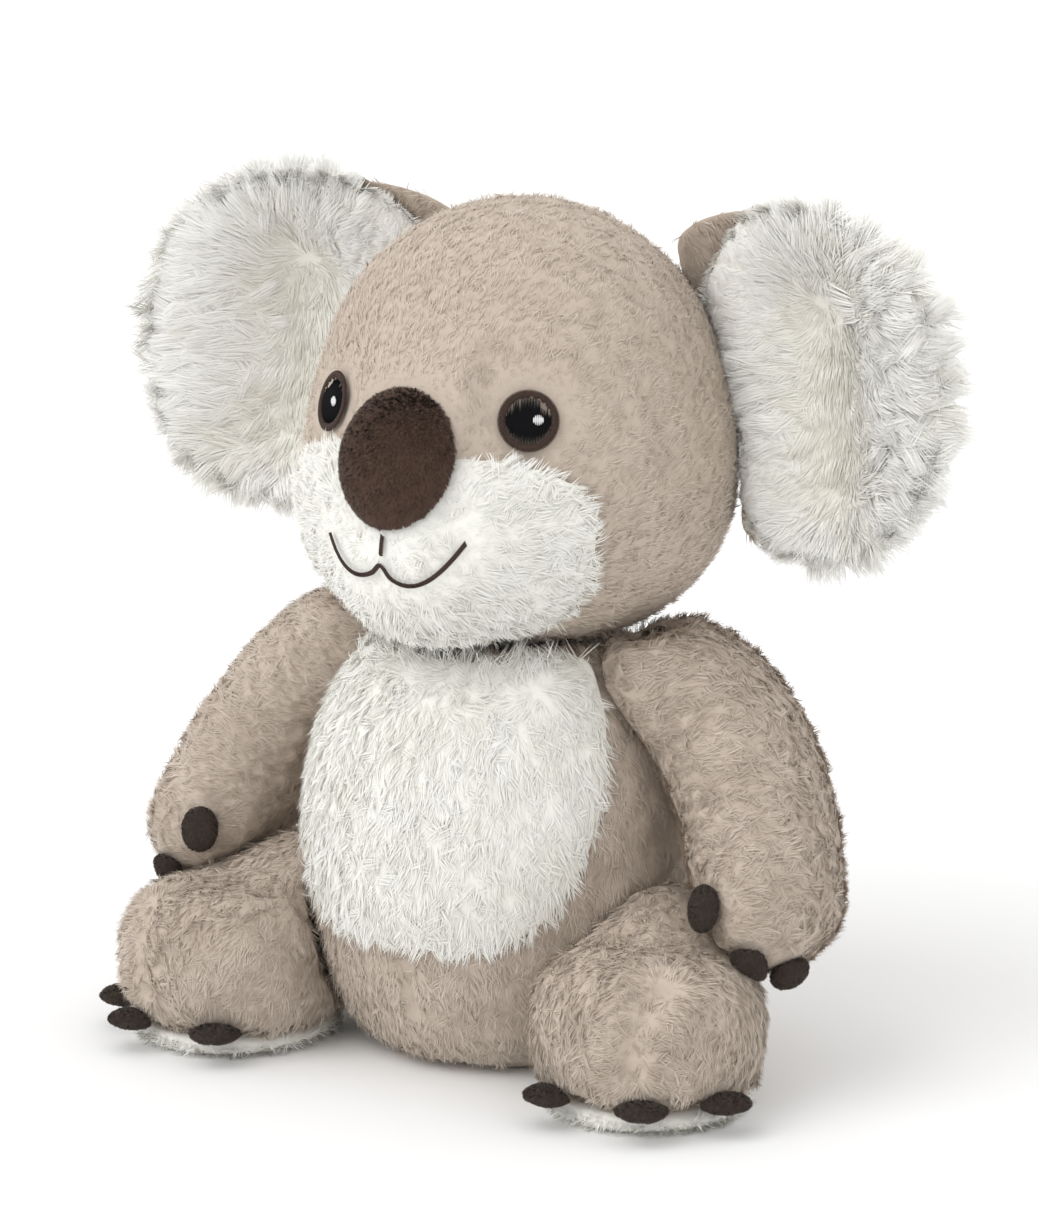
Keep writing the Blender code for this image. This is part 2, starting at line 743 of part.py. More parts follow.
def add_torso(taupe, fibre, pouch_cloth):
    """The torso's cover, its filling and the pellet pouch in its seat."""
    opening = math.atan(TORSO_OPENING_RADIUS / (TORSO_TOP - TORSO_LEVEL))

    def inner(directions):
        return torso_reach(directions) - COVER_THICKNESS

    add_piece(
        "torso_cover",
        shell_mesh(
            placed(TORSO_CENTRE, torso_reach),
            placed(TORSO_CENTRE, inner),
            -UP,
            BODY_SEGMENTS,
            BODY_RINGS,
            opening,
        ),
        taupe,
        np.zeros(3),
    )
    floor = COVER_THICKNESS + SEAM_GAP
    pouch_top = floor + POUCH_HEIGHT
    pouch_centre = np.array([0.0, 0.0, floor + POUCH_HEIGHT / 2.0])

    def stuffing(directions):
        reach = inner(directions) - SEAM_GAP
        with np.errstate(divide="ignore"):
            lid = (TORSO_LEVEL - pouch_top - SEAM_GAP) / np.abs(directions[..., 2])
        return np.where(directions[..., 2] < 0.0, np.minimum(reach, lid), reach)

    def pouch(directions):
        half = POUCH_HEIGHT / 2.0
        return superball_reach(directions, POUCH_RADIUS, half, half, POUCH_POWER, POUCH_POWER)

    add_piece(
        "torso_filling",
        filling_mesh(placed(TORSO_CENTRE, stuffing), -UP, BODY_SEGMENTS, opening),
        fibre,
        np.zeros(3),
    )
    add_piece(
        "pellet_pouch",
        ball_mesh(placed(pouch_centre, pouch), UP, POUCH_SEGMENTS, POUCH_RINGS),
        pouch_cloth,
        np.zeros(3),
    )


def add_head(taupe, fibre):
    """The head's cover and its filling. The head turns on the neck seam."""
    pivot = np.array([0.0, HEAD_BACK, TORSO_TOP])
    opening = math.atan(HEAD_OPENING_RADIUS / HEAD_NECK_DEPTH)

    def inner(directions):
        return head_reach(directions) - COVER_THICKNESS

    def stuffing(directions):
        return inner(directions) - SEAM_GAP

    add_piece(
        "head_cover",
        shell_mesh(
            placed(HEAD_CENTRE, head_reach),
            placed(HEAD_CENTRE, inner),
            UP,
            BODY_SEGMENTS,
            BODY_RINGS,
            opening,
        ),
        taupe,
        pivot,
    )
    add_piece(
        "head_filling",
        filling_mesh(placed(HEAD_CENTRE, stuffing), UP, BODY_SEGMENTS, opening),
        fibre,
        pivot,
    )
    return pivot


def muzzle_direction(wide_share, tall_share):
    """The way from the head's centre to a spot on the muzzle panel."""
    level = -MUZZLE_BELOW + MUZZLE_HALF_HEIGHT * tall_share
    height = HEAD_RISE if level > 0.0 else HEAD_DROP
    power = HEAD_RISE_POWER if level > 0.0 else HEAD_DROP_POWER
    radius = radius_at_depth(level, HEAD_HALF_WIDTH, height, power)
    azimuth = math.radians(MUZZLE_HALF_ANGLE * wide_share)
    return unit([radius * math.sin(azimuth), -radius * math.cos(azimuth), level])


def add_muzzle(white, pivot):
    """The white panel that forms the cheeks, the snout and the chin."""
    directions = []
    for ring in range(1, MUZZLE_RINGS + 1):
        share = (ring / MUZZLE_RINGS) ** MUZZLE_RING_POWER
        row = []
        for step in range(MUZZLE_SEGMENTS):
            wide, tall = panel_outline(MUZZLE_POWER, math.tau * step / MUZZLE_SEGMENTS)
            row.append(muzzle_direction(wide * share, tall * share))
        directions.append(row)

    def inner(ways):
        return head_reach(ways) + PANEL_GAP

    geometry = disc_mesh(
        np.array(directions), muzzle_direction(0.0, 0.0), inner, muzzle_reach, HEAD_CENTRE
    )
    add_piece("muzzle_panel", geometry, white, pivot)


def add_nose(velour, pivot):
    """The stuffed nose, which leans back and lies flat against the face."""
    lean = math.radians(NOSE_LEAN)
    centre = HEAD_CENTRE + np.array([0.0, -NOSE_FORWARD, NOSE_ABOVE])
    facing = np.array([0.0, -math.cos(lean), math.sin(lean)])
    upward = np.array([0.0, math.sin(lean), math.cos(lean)])
    axes = np.stack([OUT, facing, upward])
    sizes = np.array([NOSE_HALF_WIDTH, NOSE_HALF_DEPTH, NOSE_HALF_HEIGHT])
    face = (HEAD_CENTRE, muzzle_reach, pivot, UP, ())

    def place(directions):
        reach = 1.0 / np.linalg.norm(directions @ axes.T / sizes, axis=-1)
        points = centre + directions * reach[..., None]
        lift = NOSE_EDGE * np.clip(NOSE_EDGE_SHARE + directions @ facing, 0.0, 1.0)
        return pushed(points, [face], PANEL_GAP + lift)

    add_piece("nose", ball_mesh(place, facing, NOSE_SEGMENTS, NOSE_RINGS), velour, pivot)


def ribbon_mesh(path, surface):
    """A flat thread that follows a path of aims over the face."""
    aims = np.array(path)
    ways = unit(aims)
    along = np.gradient(aims, axis=0)
    across = unit(np.cross(ways, along)) * THREAD_WIDTH / 2.0
    grid = np.stack([unit(aims + across), unit(aims - across)], axis=1)
    inner = HEAD_CENTRE + grid * (surface(grid) + SEAM_GAP)[..., None]
    outer = HEAD_CENTRE + grid * (surface(grid) + SEAM_GAP + THREAD_THICKNESS)[..., None]
    return panel_mesh(inner, outer, False)


def mouth_aim(share):
    """A point to aim at for the mouth, from its left end at -1 to its right end at 1."""
    swing = abs(share)
    bend = MOUTH_RIGHT_SHARE if share < 0.0 else 1.0
    hang = math.sin(math.pi * swing**MOUTH_HANG_POWER) * MOUTH_HANG * bend
    rise = MOUTH_RISE * swing**MOUTH_RISE_POWER * bend
    return (share * MOUTH_HALF_WIDTH, -MOUTH_DEPTH, -MOUTH_BELOW - hang + rise)


def add_mouth(thread, pivot):
    """The stitched mouth, and the short stitched line from the nose down to it."""
    steps = np.linspace(-1.0, 1.0, 2 * MOUTH_STEPS + 1)
    add_piece("mouth_stitch", ribbon_mesh([mouth_aim(s) for s in steps], muzzle_reach), thread, pivot)
    low = -MOUTH_BELOW + PHILTRUM_ABOVE
    high = low + PHILTRUM_HEIGHT
    line = [(0.0, -MOUTH_DEPTH, level) for level in np.linspace(low, high, MUZZLE_RINGS // 2)]
    add_piece("philtrum_stitch", ribbon_mesh(line, muzzle_reach), thread, pivot)


def eye_directions(middle, radii, segments):
    """Rings of directions round a middle, at these radii on the head."""
    side = unit(np.cross(UP, middle))
    up = np.cross(middle, side)
    around = np.arange(segments) * math.tau / segments
    flat = np.cos(around)[:, None] * side + np.sin(around)[:, None] * up
    distance = head_reach(middle[None])[0]
    return np.stack([unit(middle + flat * radius / distance) for radius in radii])


def add_eyes(ring_thread, pupil_thread, glint_thread, pivot):
    """Two embroidered eyes: a ring, the pupil inside it and a glint on the pupil."""
    for side, name in ((1.0, "left"), (-1.0, "right")):
        middle = eye_direction(side)

        def base(ways):
            return head_reach(ways) + SEAM_GAP

        def face(ways):
            return base(ways) + EYE_THICKNESS

        def glint_base(ways):
            return face(ways) + SEAM_GAP

        def glint_face(ways):
            return glint_base(ways) + GLINT_THICKNESS

        radii = (EYE_RADIUS, PUPIL_RADIUS + SEAM_GAP)
        ring = eye_directions(middle, radii, EYE_SEGMENTS)
        inner = HEAD_CENTRE + ring * base(ring)[..., None]
        outer = HEAD_CENTRE + ring * face(ring)[..., None]
        add_piece("eye_ring_" + name, panel_mesh(inner, outer, True), ring_thread, pivot)
        radii = PUPIL_RADIUS * np.arange(1, EYE_RINGS + 1) / EYE_RINGS
        disc = eye_directions(middle, radii, EYE_SEGMENTS)
        geometry = disc_mesh(disc, middle, base, face, HEAD_CENTRE)
        add_piece("eye_pupil_" + name, geometry, pupil_thread, pivot)
        across = unit(np.cross(UP, middle))
        distance = head_reach(middle[None])[0]
        glint = unit(middle + (across * GLINT_SIDE + UP * GLINT_UP) / distance)
        spot = eye_directions(glint, (GLINT_RADIUS,), GLINT_SEGMENTS)
        geometry = disc_mesh(spot, glint, glint_base, glint_face, HEAD_CENTRE)
        add_piece("eye_glint_" + name, geometry, glint_thread, pivot)


def panel_outline(power, around):
    """A rounded rectangle's outline, as shares of its half width and half height."""
    wide = math.cos(around)
    tall = math.sin(around)
    size = (abs(wide) ** power + abs(tall) ** power) ** (-1.0 / power)
    return wide * size, tall * size


def ear_point(around, share, offset):
    """A point of the left ear, off its dished middle surface."""
    power = EAR_POWER if math.cos(around) > 0.0 else EAR_INNER_POWER
    wide, tall = panel_outline(power, around)
    across = EAR_ACROSS * EAR_HALF_WIDTH * wide * share
    up = UP * EAR_HALF_HEIGHT * tall * share
    return EAR_CENTRE + across + up + EAR_FACING * (EAR_DISH * share * share + offset)


def ear_extent(around):
    """How far the ear runs from its middle before it ends or meets the head."""
    near = 0.0
    far = 1.0
    if head_field(ear_point(around, 1.0, 0.0)[None])[0] > LIMB_GAP:
        return 1.0
    for _ in range(ROOT_STEPS):
        middle = (near + far) / 2.0
        if head_field(ear_point(around, middle, 0.0)[None])[0] > LIMB_GAP:
            near = middle
        else:
            far = middle
    return near


# The ear folds about an upright line through the middle of its root.
EAR_PIVOT = ear_point(math.pi, ear_extent(math.pi), 0.0)
HEAD_BY_EAR = (HEAD_CENTRE, head_reach, EAR_PIVOT, EAR_AXIS, EAR_FOLDS)


def ear_wrap(around):
    """How much of the ear's front the back's cloth takes, where it wraps forward."""
    share = 0.0
    for angle in EAR_WRAP_ANGLES:
        away = (math.degrees(around) - angle) / EAR_WRAP_SPREAD
        share += math.exp(-away * away)
    return EAR_WRAP * share


def add_ears(white, taupe):
    """Two ears: a white front and a taupe back, dished, sewn to the head's side."""
    arounds = np.arange(EAR_SEGMENTS) * math.tau / EAR_SEGMENTS
    full = [ear_extent(around) for around in arounds]
    short = [extent * (1.0 - ear_wrap(around)) for around, extent in zip(arounds, full)]
    layers = (
        ("ear_front", EAR_LAYER_GAP / 2.0, EAR_FRONT_THICKNESS, short, white),
        ("ear_back", -EAR_LAYER_GAP / 2.0, -EAR_BACK_THICKNESS, full, taupe),
    )
    for name, start, thickness, extents, cloth in layers:
        sides = []
        for outer in (False, True):
            points = [ear_point(0.0, 0.0, start + (thickness if outer else 0.0))]
            for ring in range(1, EAR_RINGS + 1):
                share = (ring / EAR_RINGS) ** EAR_RING_POWER
                rounding = math.sqrt(max(1.0 - share**EAR_ROUNDING_POWER, 0.0))
                lift = start + (thickness * max(rounding, EAR_EDGE_SHARE) if outer else 0.0)
                for around, extent in zip(arounds, extents):
                    points.append(ear_point(around, share * extent, lift))
            sides.append(pushed(np.array(points), [HEAD_BY_EAR], EAR_GAP))
        count = len(sides[0])
        faces = []
        rows = [
            [1 + ring * EAR_SEGMENTS + step for step in range(EAR_SEGMENTS)]
            for ring in range(EAR_RINGS)
        ]
        fan(faces, rows[0], 0)
        fan(faces, [number + count for number in rows[0]][::-1], count)
        for near, far in zip(rows, rows[1:]):
            link_rings(faces, far, near)
            link_rings(faces, [n + count for n in near], [n + count for n in far])
        link_rings(faces, [n + count for n in rows[-1]], rows[-1])
        add_pair(name, (np.concatenate(sides), faces), cloth, EAR_PIVOT)


def add_belly(white):
    """The white shield on the torso's front, from the lower belly to the neck."""
    top = TORSO_TOP - BELLY_TOP_MARGIN
    inner = []
    outer = []
    for row in range(BELLY_ROWS):
        share = ((row + BELLY_FIRST_SHARE) / (BELLY_ROWS - 1 + BELLY_FIRST_SHARE)) ** BELLY_ROW_POWER
        level = BELLY_BOTTOM + (top - BELLY_BOTTOM) * share
        half = belly_half_angle(share)
        lines = ([], [])
        for column in range(BELLY_COLUMNS + 1):
            side = 2.0 * column / BELLY_COLUMNS - 1.0
            spot = torso_surface(half * side, level, 0.0)
            way = unit(spot - TORSO_CENTRE)
            base = torso_reach(way[None])[0] + PANEL_GAP
            fall = max(abs(side), abs(2.0 * share - 1.0)) ** BELLY_CROWN_POWER
            swell = BELLY_EDGE + (BELLY_CROWN - BELLY_EDGE) * (1.0 - fall)
            lines[0].append(TORSO_CENTRE + way * base)
            lines[1].append(TORSO_CENTRE + way * (base + swell))
        inner.append(lines[0])
        outer.append(lines[1])
    add_piece("belly_panel", panel_mesh(np.array(inner), np.array(outer), False), white, np.zeros(3))


def limb(name, centre, pole, shape, form, neighbours, obstacles, lowest, pivot, cloths):
    """A limb's cover and its filling, on both sides."""

    def surface(inset):
        def place(ways):
            reach = ray_reach(ways, centre, form, neighbours, LIMB_GAP, inset)
            points = pushed(centre + ways * reach[..., None], obstacles, LIMB_GAP + inset)
            points[..., 2] = np.maximum(points[..., 2], lowest + inset)
            return points

        return place

    stretch, opening_share, segments, rings = shape
    opening = math.pi * opening_share
    inner = surface(COVER_THICKNESS)
    shell = shell_mesh(surface(0.0), inner, pole, segments, rings, opening, stretch)
    add_pair(name + "_cover", shell, cloths[0], pivot)
    stuffing = surface(COVER_THICKNESS + FILLING_GAP)
    core = filling_mesh(stuffing, pole, segments, opening, stretch)
    add_pair(name + "_filling", core, cloths[1], pivot)


def add_claw(name, spot, ways, sizes, carriers, cloth, pivot):
    """One padded felt claw, flat against what carries it and clear of what it passes."""

    def form(points):
        return ellipsoid_field(points, spot, ways, sizes)

    def reach(directions):
        return ray_reach(directions, spot, form, carriers, SEAM_GAP, 0.0)

    claw = ball_mesh(placed(spot, reach), ways[1], TRIM_SEGMENTS, TRIM_RINGS)
    add_pair(name, claw, cloth, pivot)


def add_arms(taupe, fibre, felt):
    """Two arms with three claws round each paw."""
    limb(
        "arm",
        ARM_CENTRE,
        unit(PAW - SHOULDER),
        (ARM_STRETCH, ARM_OPENING_SHARE, ARM_SEGMENTS, ARM_RINGS),
        arm_field,
        [SWUNG_LEG],
        [HEAD_BY_ARM, TORSO_BY_ARM],
        0.0,
        ARM_PIVOT,
        (taupe, fibre),
    )
    carriers = [arm_field, SWUNG_LEG]
    for place, (azimuth, elevation) in HAND_CLAW_PLACES.items():
        turn = math.radians(azimuth)
        lift = math.radians(elevation)
        flat = np.array([math.sin(turn), -math.cos(turn), 0.0])
        outward = flat * math.cos(lift) + UP * math.sin(lift)
        down = unit(outward * math.sin(lift) - UP)
        side = np.cross(outward, down)
        reach = ray_reach(outward[None], PAW, arm_field, [], 0.0, 0.0)[0]
        spot = PAW + outward * (reach + CLAW_RISE) + down * CLAW_DROP
        sizes = (CLAW_HALF_LENGTH, CLAW_HALF_THICKNESS, CLAW_HALF_WIDTH)
        name = "hand_claw_" + place
        add_claw(name, spot, (down, outward, side), sizes, carriers, felt, ARM_PIVOT)


def foot_edge(azimuth, level):
    """How far the leg reaches from the foot's middle at a level, toward an azimuth."""
    turn = math.radians(azimuth)
    way = np.array([[math.sin(turn), -math.cos(turn), 0.0]])
    middle = np.array([FOOT[0], FOOT[1], level])
    return ray_reach(way, middle, leg_field, [torso_field], LIMB_GAP, 0.0)[0]


def add_soles(white):
    """A white plush pad under each foot, flat where it rests."""
    top = SOLE_THICKNESS - SEAM_GAP
    levels = (top, top / 2.0, 0.0)
    shares = (1.0, SOLE_MIDDLE_SHARE, SOLE_BOTTOM_SHARE)
    edge = [foot_edge(360.0 * step / SOLE_SEGMENTS, SOLE_THICKNESS) for step in range(SOLE_SEGMENTS)]
    limit = FOOT_RADIUS - SOLE_MARGIN
    points = []
    for level, share in zip(levels, shares):
        for step, radius in enumerate(edge):
            turn = math.tau * step / SOLE_SEGMENTS
            size = (min(radius, limit) - SOLE_MARGIN) * share
            points.append((FOOT[0] + size * math.sin(turn), FOOT[1] - size * math.cos(turn), level))
    points.append((FOOT[0], FOOT[1], top))
    points.append((FOOT[0], FOOT[1], 0.0))
    rows = [list(range(row * SOLE_SEGMENTS, (row + 1) * SOLE_SEGMENTS)) for row in range(3)]
    faces = []
    fan(faces, rows[0][::-1], len(points) - 2)
    link_rings(faces, rows[0], rows[1])
    link_rings(faces, rows[1], rows[2])
    fan(faces, rows[2], len(points) - 1)
    add_pair("sole", (np.array(points), faces), white, LEG_PIVOT)


def add_legs(taupe, white, fibre, felt):
    """Two legs, each with a sole and three toe claws."""
    limb(
        "leg",
        LEG_CENTRE,
        unit(LEG_CENTRE * (OUT + BACKWARD)),
        (LEG_STRETCH, LEG_OPENING_SHARE, LEG_SEGMENTS, LEG_RINGS),
        leg_field,
        [lambda points: LIMB_GAP - SEAM_GAP - above_sole(points)],
        [TORSO_BY_LEG],
        SOLE_THICKNESS + SEAM_GAP,
        LEG_PIVOT,
        (taupe, fibre),
    )
    add_soles(white)
    for place, azimuth in TOE_AZIMUTHS.items():
        turn = math.radians(azimuth)
        outward = np.array([math.sin(turn), -math.cos(turn), 0.0])
        side = np.cross(outward, UP)
        reach = foot_edge(azimuth, TOE_CLAW_LEVEL)
        spot = np.array([FOOT[0], FOOT[1], TOE_CLAW_LEVEL]) + outward * (reach + TOE_CLAW_RISE)
        sizes = (TOE_CLAW_HALF_WIDTH, TOE_CLAW_HALF_LENGTH, TOE_CLAW_HALF_THICKNESS)
        ways = (side, outward, UP)
        add_claw("toe_claw_" + place, spot, ways, sizes, [leg_field], felt, LEG_PIVOT)


def main():
    """Clears the scene and builds the koala."""
    for thing in list(bpy.data.objects):
        bpy.data.objects.remove(thing, do_unlink=True)
    taupe = material("taupe_plush", TAUPE, CLOTH_ROUGHNESS)
    white = material("white_plush", WHITE, CLOTH_ROUGHNESS)
    velour = material("nose_velour", BROWN_VELOUR, CLOTH_ROUGHNESS)
    felt = material("claw_felt", BROWN_FELT, CLOTH_ROUGHNESS)
    brown_thread = material("brown_thread", BROWN_THREAD, THREAD_ROUGHNESS)
    black_thread = material("black_thread", BLACK_THREAD, THREAD_ROUGHNESS)
    white_thread = material("white_thread", WHITE_THREAD, THREAD_ROUGHNESS)
    fibre = material("fibre_filling", FIBRE, CLOTH_ROUGHNESS)
    pouch_cloth = material("pouch_cloth", POUCH_CLOTH, CLOTH_ROUGHNESS)
    add_torso(taupe, fibre, pouch_cloth)
    add_belly(white)
    neck = add_head(taupe, fibre)
    add_muzzle(white, neck)
    add_nose(velour, neck)
    add_mouth(brown_thread, neck)
    add_eyes(brown_thread, black_thread, white_thread, neck)
    add_ears(white, taupe)
    add_arms(taupe, fibre, felt)
    add_legs(taupe, white, fibre, felt)


main()
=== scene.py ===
"""The looks of a sitting plush koala: pile, felt, stitching, floor, light and camera.

Every soft piece starts from the smoothed skin of the solid that it stands for. Pile is
real geometry: narrow bent blades that grow out of a skin, lean along its nap and gather
into tufts. Metres and degrees, +Z up, the koala faces -Y.
"""
import math

import bmesh
import bpy
import numpy as np
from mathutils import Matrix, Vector
from mathutils.bvhtree import BVHTree


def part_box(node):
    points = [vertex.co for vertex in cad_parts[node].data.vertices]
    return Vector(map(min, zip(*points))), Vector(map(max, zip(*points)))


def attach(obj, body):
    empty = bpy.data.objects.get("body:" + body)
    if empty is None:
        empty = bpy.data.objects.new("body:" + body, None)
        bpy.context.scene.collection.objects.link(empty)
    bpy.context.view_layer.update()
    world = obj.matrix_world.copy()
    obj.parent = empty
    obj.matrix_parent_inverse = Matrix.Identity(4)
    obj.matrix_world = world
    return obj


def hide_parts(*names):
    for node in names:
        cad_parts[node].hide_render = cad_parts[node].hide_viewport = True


# Camera, as the photograph shows the koala
CAMERA_AZIMUTH = 31.0
CAMERA_ELEVATION = 12.0
CAMERA_DISTANCE = 1.5
CAMERA_AIM = (0.0037, 0.0022, 0.1368)
IMAGE_SIZE = (1038, 1207)
METRES_PER_PIXEL = 0.000305
SENSOR_HEIGHT = 24.0

# Light and floor
WORLD_LIGHT = 0.98
SUN_LIGHT = 1.0
SUN_SOFTNESS = 50.0
SUN_AZIMUTH = -25.0
SUN_ELEVATION = 46.0
FLOOR_SIZE = 12.0
FLOOR_COLOUR = (0.93, 0.93, 0.93)

# Pile colours: at the root, at the tip, and at the tips of the shaded tufts. The darker root is
# painted shade deep in the pile; the tufts are shaded partly at random and partly as painted shade
# and light
TAUPE = ((0.42, 0.345, 0.28), (0.76, 0.67, 0.58), (0.56, 0.475, 0.395))
WHITE = ((0.86, 0.85, 0.785), (0.96, 0.955, 0.93), (0.88, 0.865, 0.80))
# The ears' white is lighter than the belly's, painted light against the locks' own shadow; its
# darker, creamier colour is painted shade for the valley
EAR_WHITE = ((0.90, 0.885, 0.82), (0.98, 0.975, 0.955), (0.82, 0.80, 0.715))
VELOUR = ((0.060, 0.037, 0.028), (0.150, 0.093, 0.066), (0.100, 0.061, 0.045))
FELT = ((0.040, 0.030, 0.025), (0.088, 0.067, 0.055), (0.060, 0.046, 0.038))
# How the root's painted shade fades toward the tip
ROOT_PAINTED_SHADE_FADE = 0.65
PILE_SPECULAR = 0.10
SHEEN_ROUGHNESS = 0.45

# Thread colours, and how their shade changes along the thread
BROWN_THREAD = (0.050, 0.029, 0.022)
BLACK_THREAD = (0.007, 0.007, 0.008)
WHITE_THREAD = (0.82, 0.82, 0.80)
FILLING = (0.84, 0.84, 0.82)
THREAD_GRAIN = 1400.0
THREAD_DARK = 0.65
THREAD_LIGHT = 1.35
THREAD_BRIGHTEST = 0.95

# Skins: their welding and smoothing, and the soft lumps that filling raises in them
WELD_DISTANCE = 0.00001
SKIN_LEVELS = 2
LUMP_HEIGHT = 0.0005
LUMP_SIZE = 0.009
LUMP_SEEDS = {"head": 3, "arm": 4, "leg": 5, "torso": 6}
RIPPLE_WAVES = 5
RIPPLE_STRETCH = (0.6, 1.6)
RIPPLE_PEAK = 2.6
CURVE_STEPS = 12

UP = np.array([0.0, 0.0, 1.0])
RIGHT = np.array([1.0, 0.0, 0.0])
FORWARD = np.array([0.0, -1.0, 0.0])
FROM_FRONT = np.array([1.0, 0.0, 1.0])
SIDES = {"left": 1.0, "right": -1.0}
CLAW_PLACES = ("inner", "middle", "outer")

# Pile of each kind, in metres. A piece carries at most its count of blades, and at most
# its density of blades on a square metre. The other values are shares.
HEAD_PILE = {
    "count": 64000, "density": 1.8e6, "length": 0.0042, "width": 0.00030, "tuft": 0.0016,
    "lean": 0.82, "curl": 0.25, "mess": 0.40, "stray": 0.06, "gather": 0.38, "soft": 0.88,
    "sink": 0.0004, "vary": 0.06, "shade": 0.56, "waves": 0.30,
}
# A piece's shade sets how far its tufts lean from the darker colour to the tip colour. The limbs'
# lower shade is painted shade, as though they sat in shadow; the torso's higher shade is painted
# light, lifting the shade on its lower front
LIMB_PILE = dict(HEAD_PILE, length=0.0054, mess=0.44, tuft=0.0021, shade=0.42, waves=0.40)
TORSO_PILE = dict(LIMB_PILE, shade=0.62)
WHITE_PILE = dict(HEAD_PILE, length=0.0066, mess=0.50, tuft=0.0026, width=0.00034)
MUZZLE_PILE = dict(WHITE_PILE, mess=0.56, tuft=0.0028, lean=0.80)
EAR_PILE = dict(
    HEAD_PILE, length=0.0125, width=0.00042, tuft=0.0040, lean=0.90, curl=0.12,
    stray=0.04, gather=0.40, soft=0.95, count=60000, density=6.0e6, vary=0.03,
)
EAR_BACK_PILE = dict(LIMB_PILE, count=58000)
SOLE_PILE = dict(HEAD_PILE, length=0.0042, tuft=0.0018, lean=0.50)
VELOUR_PILE = dict(
    HEAD_PILE, length=0.0014, width=0.00020, tuft=0.0008, lean=0.45, gather=0.20,
    density=3.0e7, sink=0.0002,
)
FELT_PILE = dict(
    HEAD_PILE, length=0.0009, width=0.00017, tuft=0.0006, lean=0.60, mess=0.9, gather=0.15,
    count=9000, density=3.0e7, sink=0.0002,
)

# A blade: two points at its root, two at its bend and one at its tip, how far along and
# across it they lie, and its triangles
BLADE_STOPS = (0.0, 0.5, 1.0)
BLADE_PLACES = ((0.0, 0.0), (1.0, 0.0), (0.0, 0.5), (1.0, 0.5), (0.5, 1.0))
BLADE_FACES = ((0, 1, 3), (0, 3, 2), (2, 3, 4))
BLADE_TAPER = 0.35
BLADE_TWIST = 0.2
BLADE_ROUNDING = 0.2
BLADE_ABOVE_FLOOR = 0.0004
CURL_TURN = 0.4
CURL_DROOP = 0.35

# How the blades and the tufts of one pile differ, and the cells that sort them into tufts
BLADE_LENGTHS = (0.80, 1.15)
TUFT_LENGTHS = (0.82, 1.15)
BLADE_WIDTHS = (0.75, 1.25)
GATHER_SHARES = (0.5, 1.0)
LEAN_LIMITS = (0.25, 0.92)
SHADE_LIMITS = (0.02, 0.98)
LENGTH_WAVE = {"height": 0.12, "tufts": 6.0, "seed": 11}
SHADE_WAVE = {"tufts": 7.0, "seed": 7}
TUFT_SHADES = 0.34
BLADE_SHADES = 0.06
SHADE_ACROSS = 0.012
TUFT_BLUR = 0.2
TUFT_PUFF = 0.5
CELL_KEYS = (73856093, 19349663, 83492791)

# The corners of a bare skin's triangles on the colour map, and the place of most skins along it
SKIN_PLACES = ((0.45, 0.0), (0.55, 0.0), (0.50, 0.06))
# Bare skin takes a colour near the root's: painted shade where it shows between the blades
SKIN_PAINTED_SHADE = 0.30

# Pile beside other pieces: how clear of them its roots stay, and where it is cut short
PANEL_CLEARANCE = 0.0011
STITCH_CLEARANCE = 0.0007
CLAW_CLEARANCE = 0.0008
FACE_TRIM = {"near": 0.001, "far": 0.009, "least": 0.30}
STITCH_TRIM = {"near": 0.0008, "far": 0.010, "least": 0.25}
CLAW_TRIM = {"near": 0.0005, "far": 0.006, "least": 0.35}
PANEL_FACING = 0.1
NOSE_FACING = -0.2

# The head's nap, the bridge between the eyes and the crown
NAP_BELOW = 0.02
NAP_LIFT = 0.25
BRIDGE_ABOVE = 0.003
BRIDGE_INNER = 0.0150
BRIDGE_OUTER = 0.0225
BRIDGE_HALF_HEIGHT = 0.017
BRIDGE_HEIGHT = 0.0056
BRIDGE_BEHIND = 0.020
BRIDGE_FADE = 0.015
CROWN_ABOVE = 0.012
CROWN_REACH = 0.030
CROWN_HEIGHT = 0.0022

# The wrinkle beside the right eye, and the pile that parts round it and round the eyes
WRINKLE = ((-0.009, 0.006, 0.006), (-0.008, 0.004, -0.002), (-0.004, 0.000, -0.011))
WRINKLE_GROOVE = {"depth": 0.0015, "reach": 0.0018}
WRINKLE_TRIM = {"reach": 0.003, "least": 0.3}
FACE_PARTING = 0.011
EYE_PARTING_LENGTH = 0.0001

# Eyes
EYE_AIM = 0.02
EYE_STITCH_POINTS = 7
EYE_STITCH_GAP = 0.00005
RING_STITCHES = 96
RING_SLANT = 0.10
RING_EDGE = 0.985
RING_LIFT = 0.00035
RING_THREAD = 0.00034
PUPIL_SHARE = 0.72
PUPIL_ROWS = 30
PUPIL_EDGE = 1.01
PUPIL_LIFT = 0.0005
PUPIL_THREAD = 0.00030
GLINT_ROWS = 6
GLINT_POINTS = 4
GLINT_LIFT = 0.0006
GLINT_THREAD = 0.00028

# Mouth stitches: their spacing, their width and slant, and how they arch
STITCH_SPACING = 0.00042
STITCH_WIDTH = 0.0015
STITCH_SLANT = 0.0004
STITCH_POINTS = 5
STITCH_RISE = 0.0009
STITCH_ARCH = 0.0005
MOUTH_THREAD = 0.00032
MOUTH_RING_POINTS = 4

# Threads: their sides, and how their ends are pinched
THREAD_SIDES = 6
THREAD_END = 0.04
THREAD_THINNEST = 0.05
THREAD_BESIDE = UP + 0.3 * RIGHT

# The valley in which each ear's locks meet, and the roll and the dip beside it
EAR_VALLEY_LEAN = 0.06
EAR_VALLEY_TOP = 0.35
EAR_VALLEY_BOTTOM = 0.60
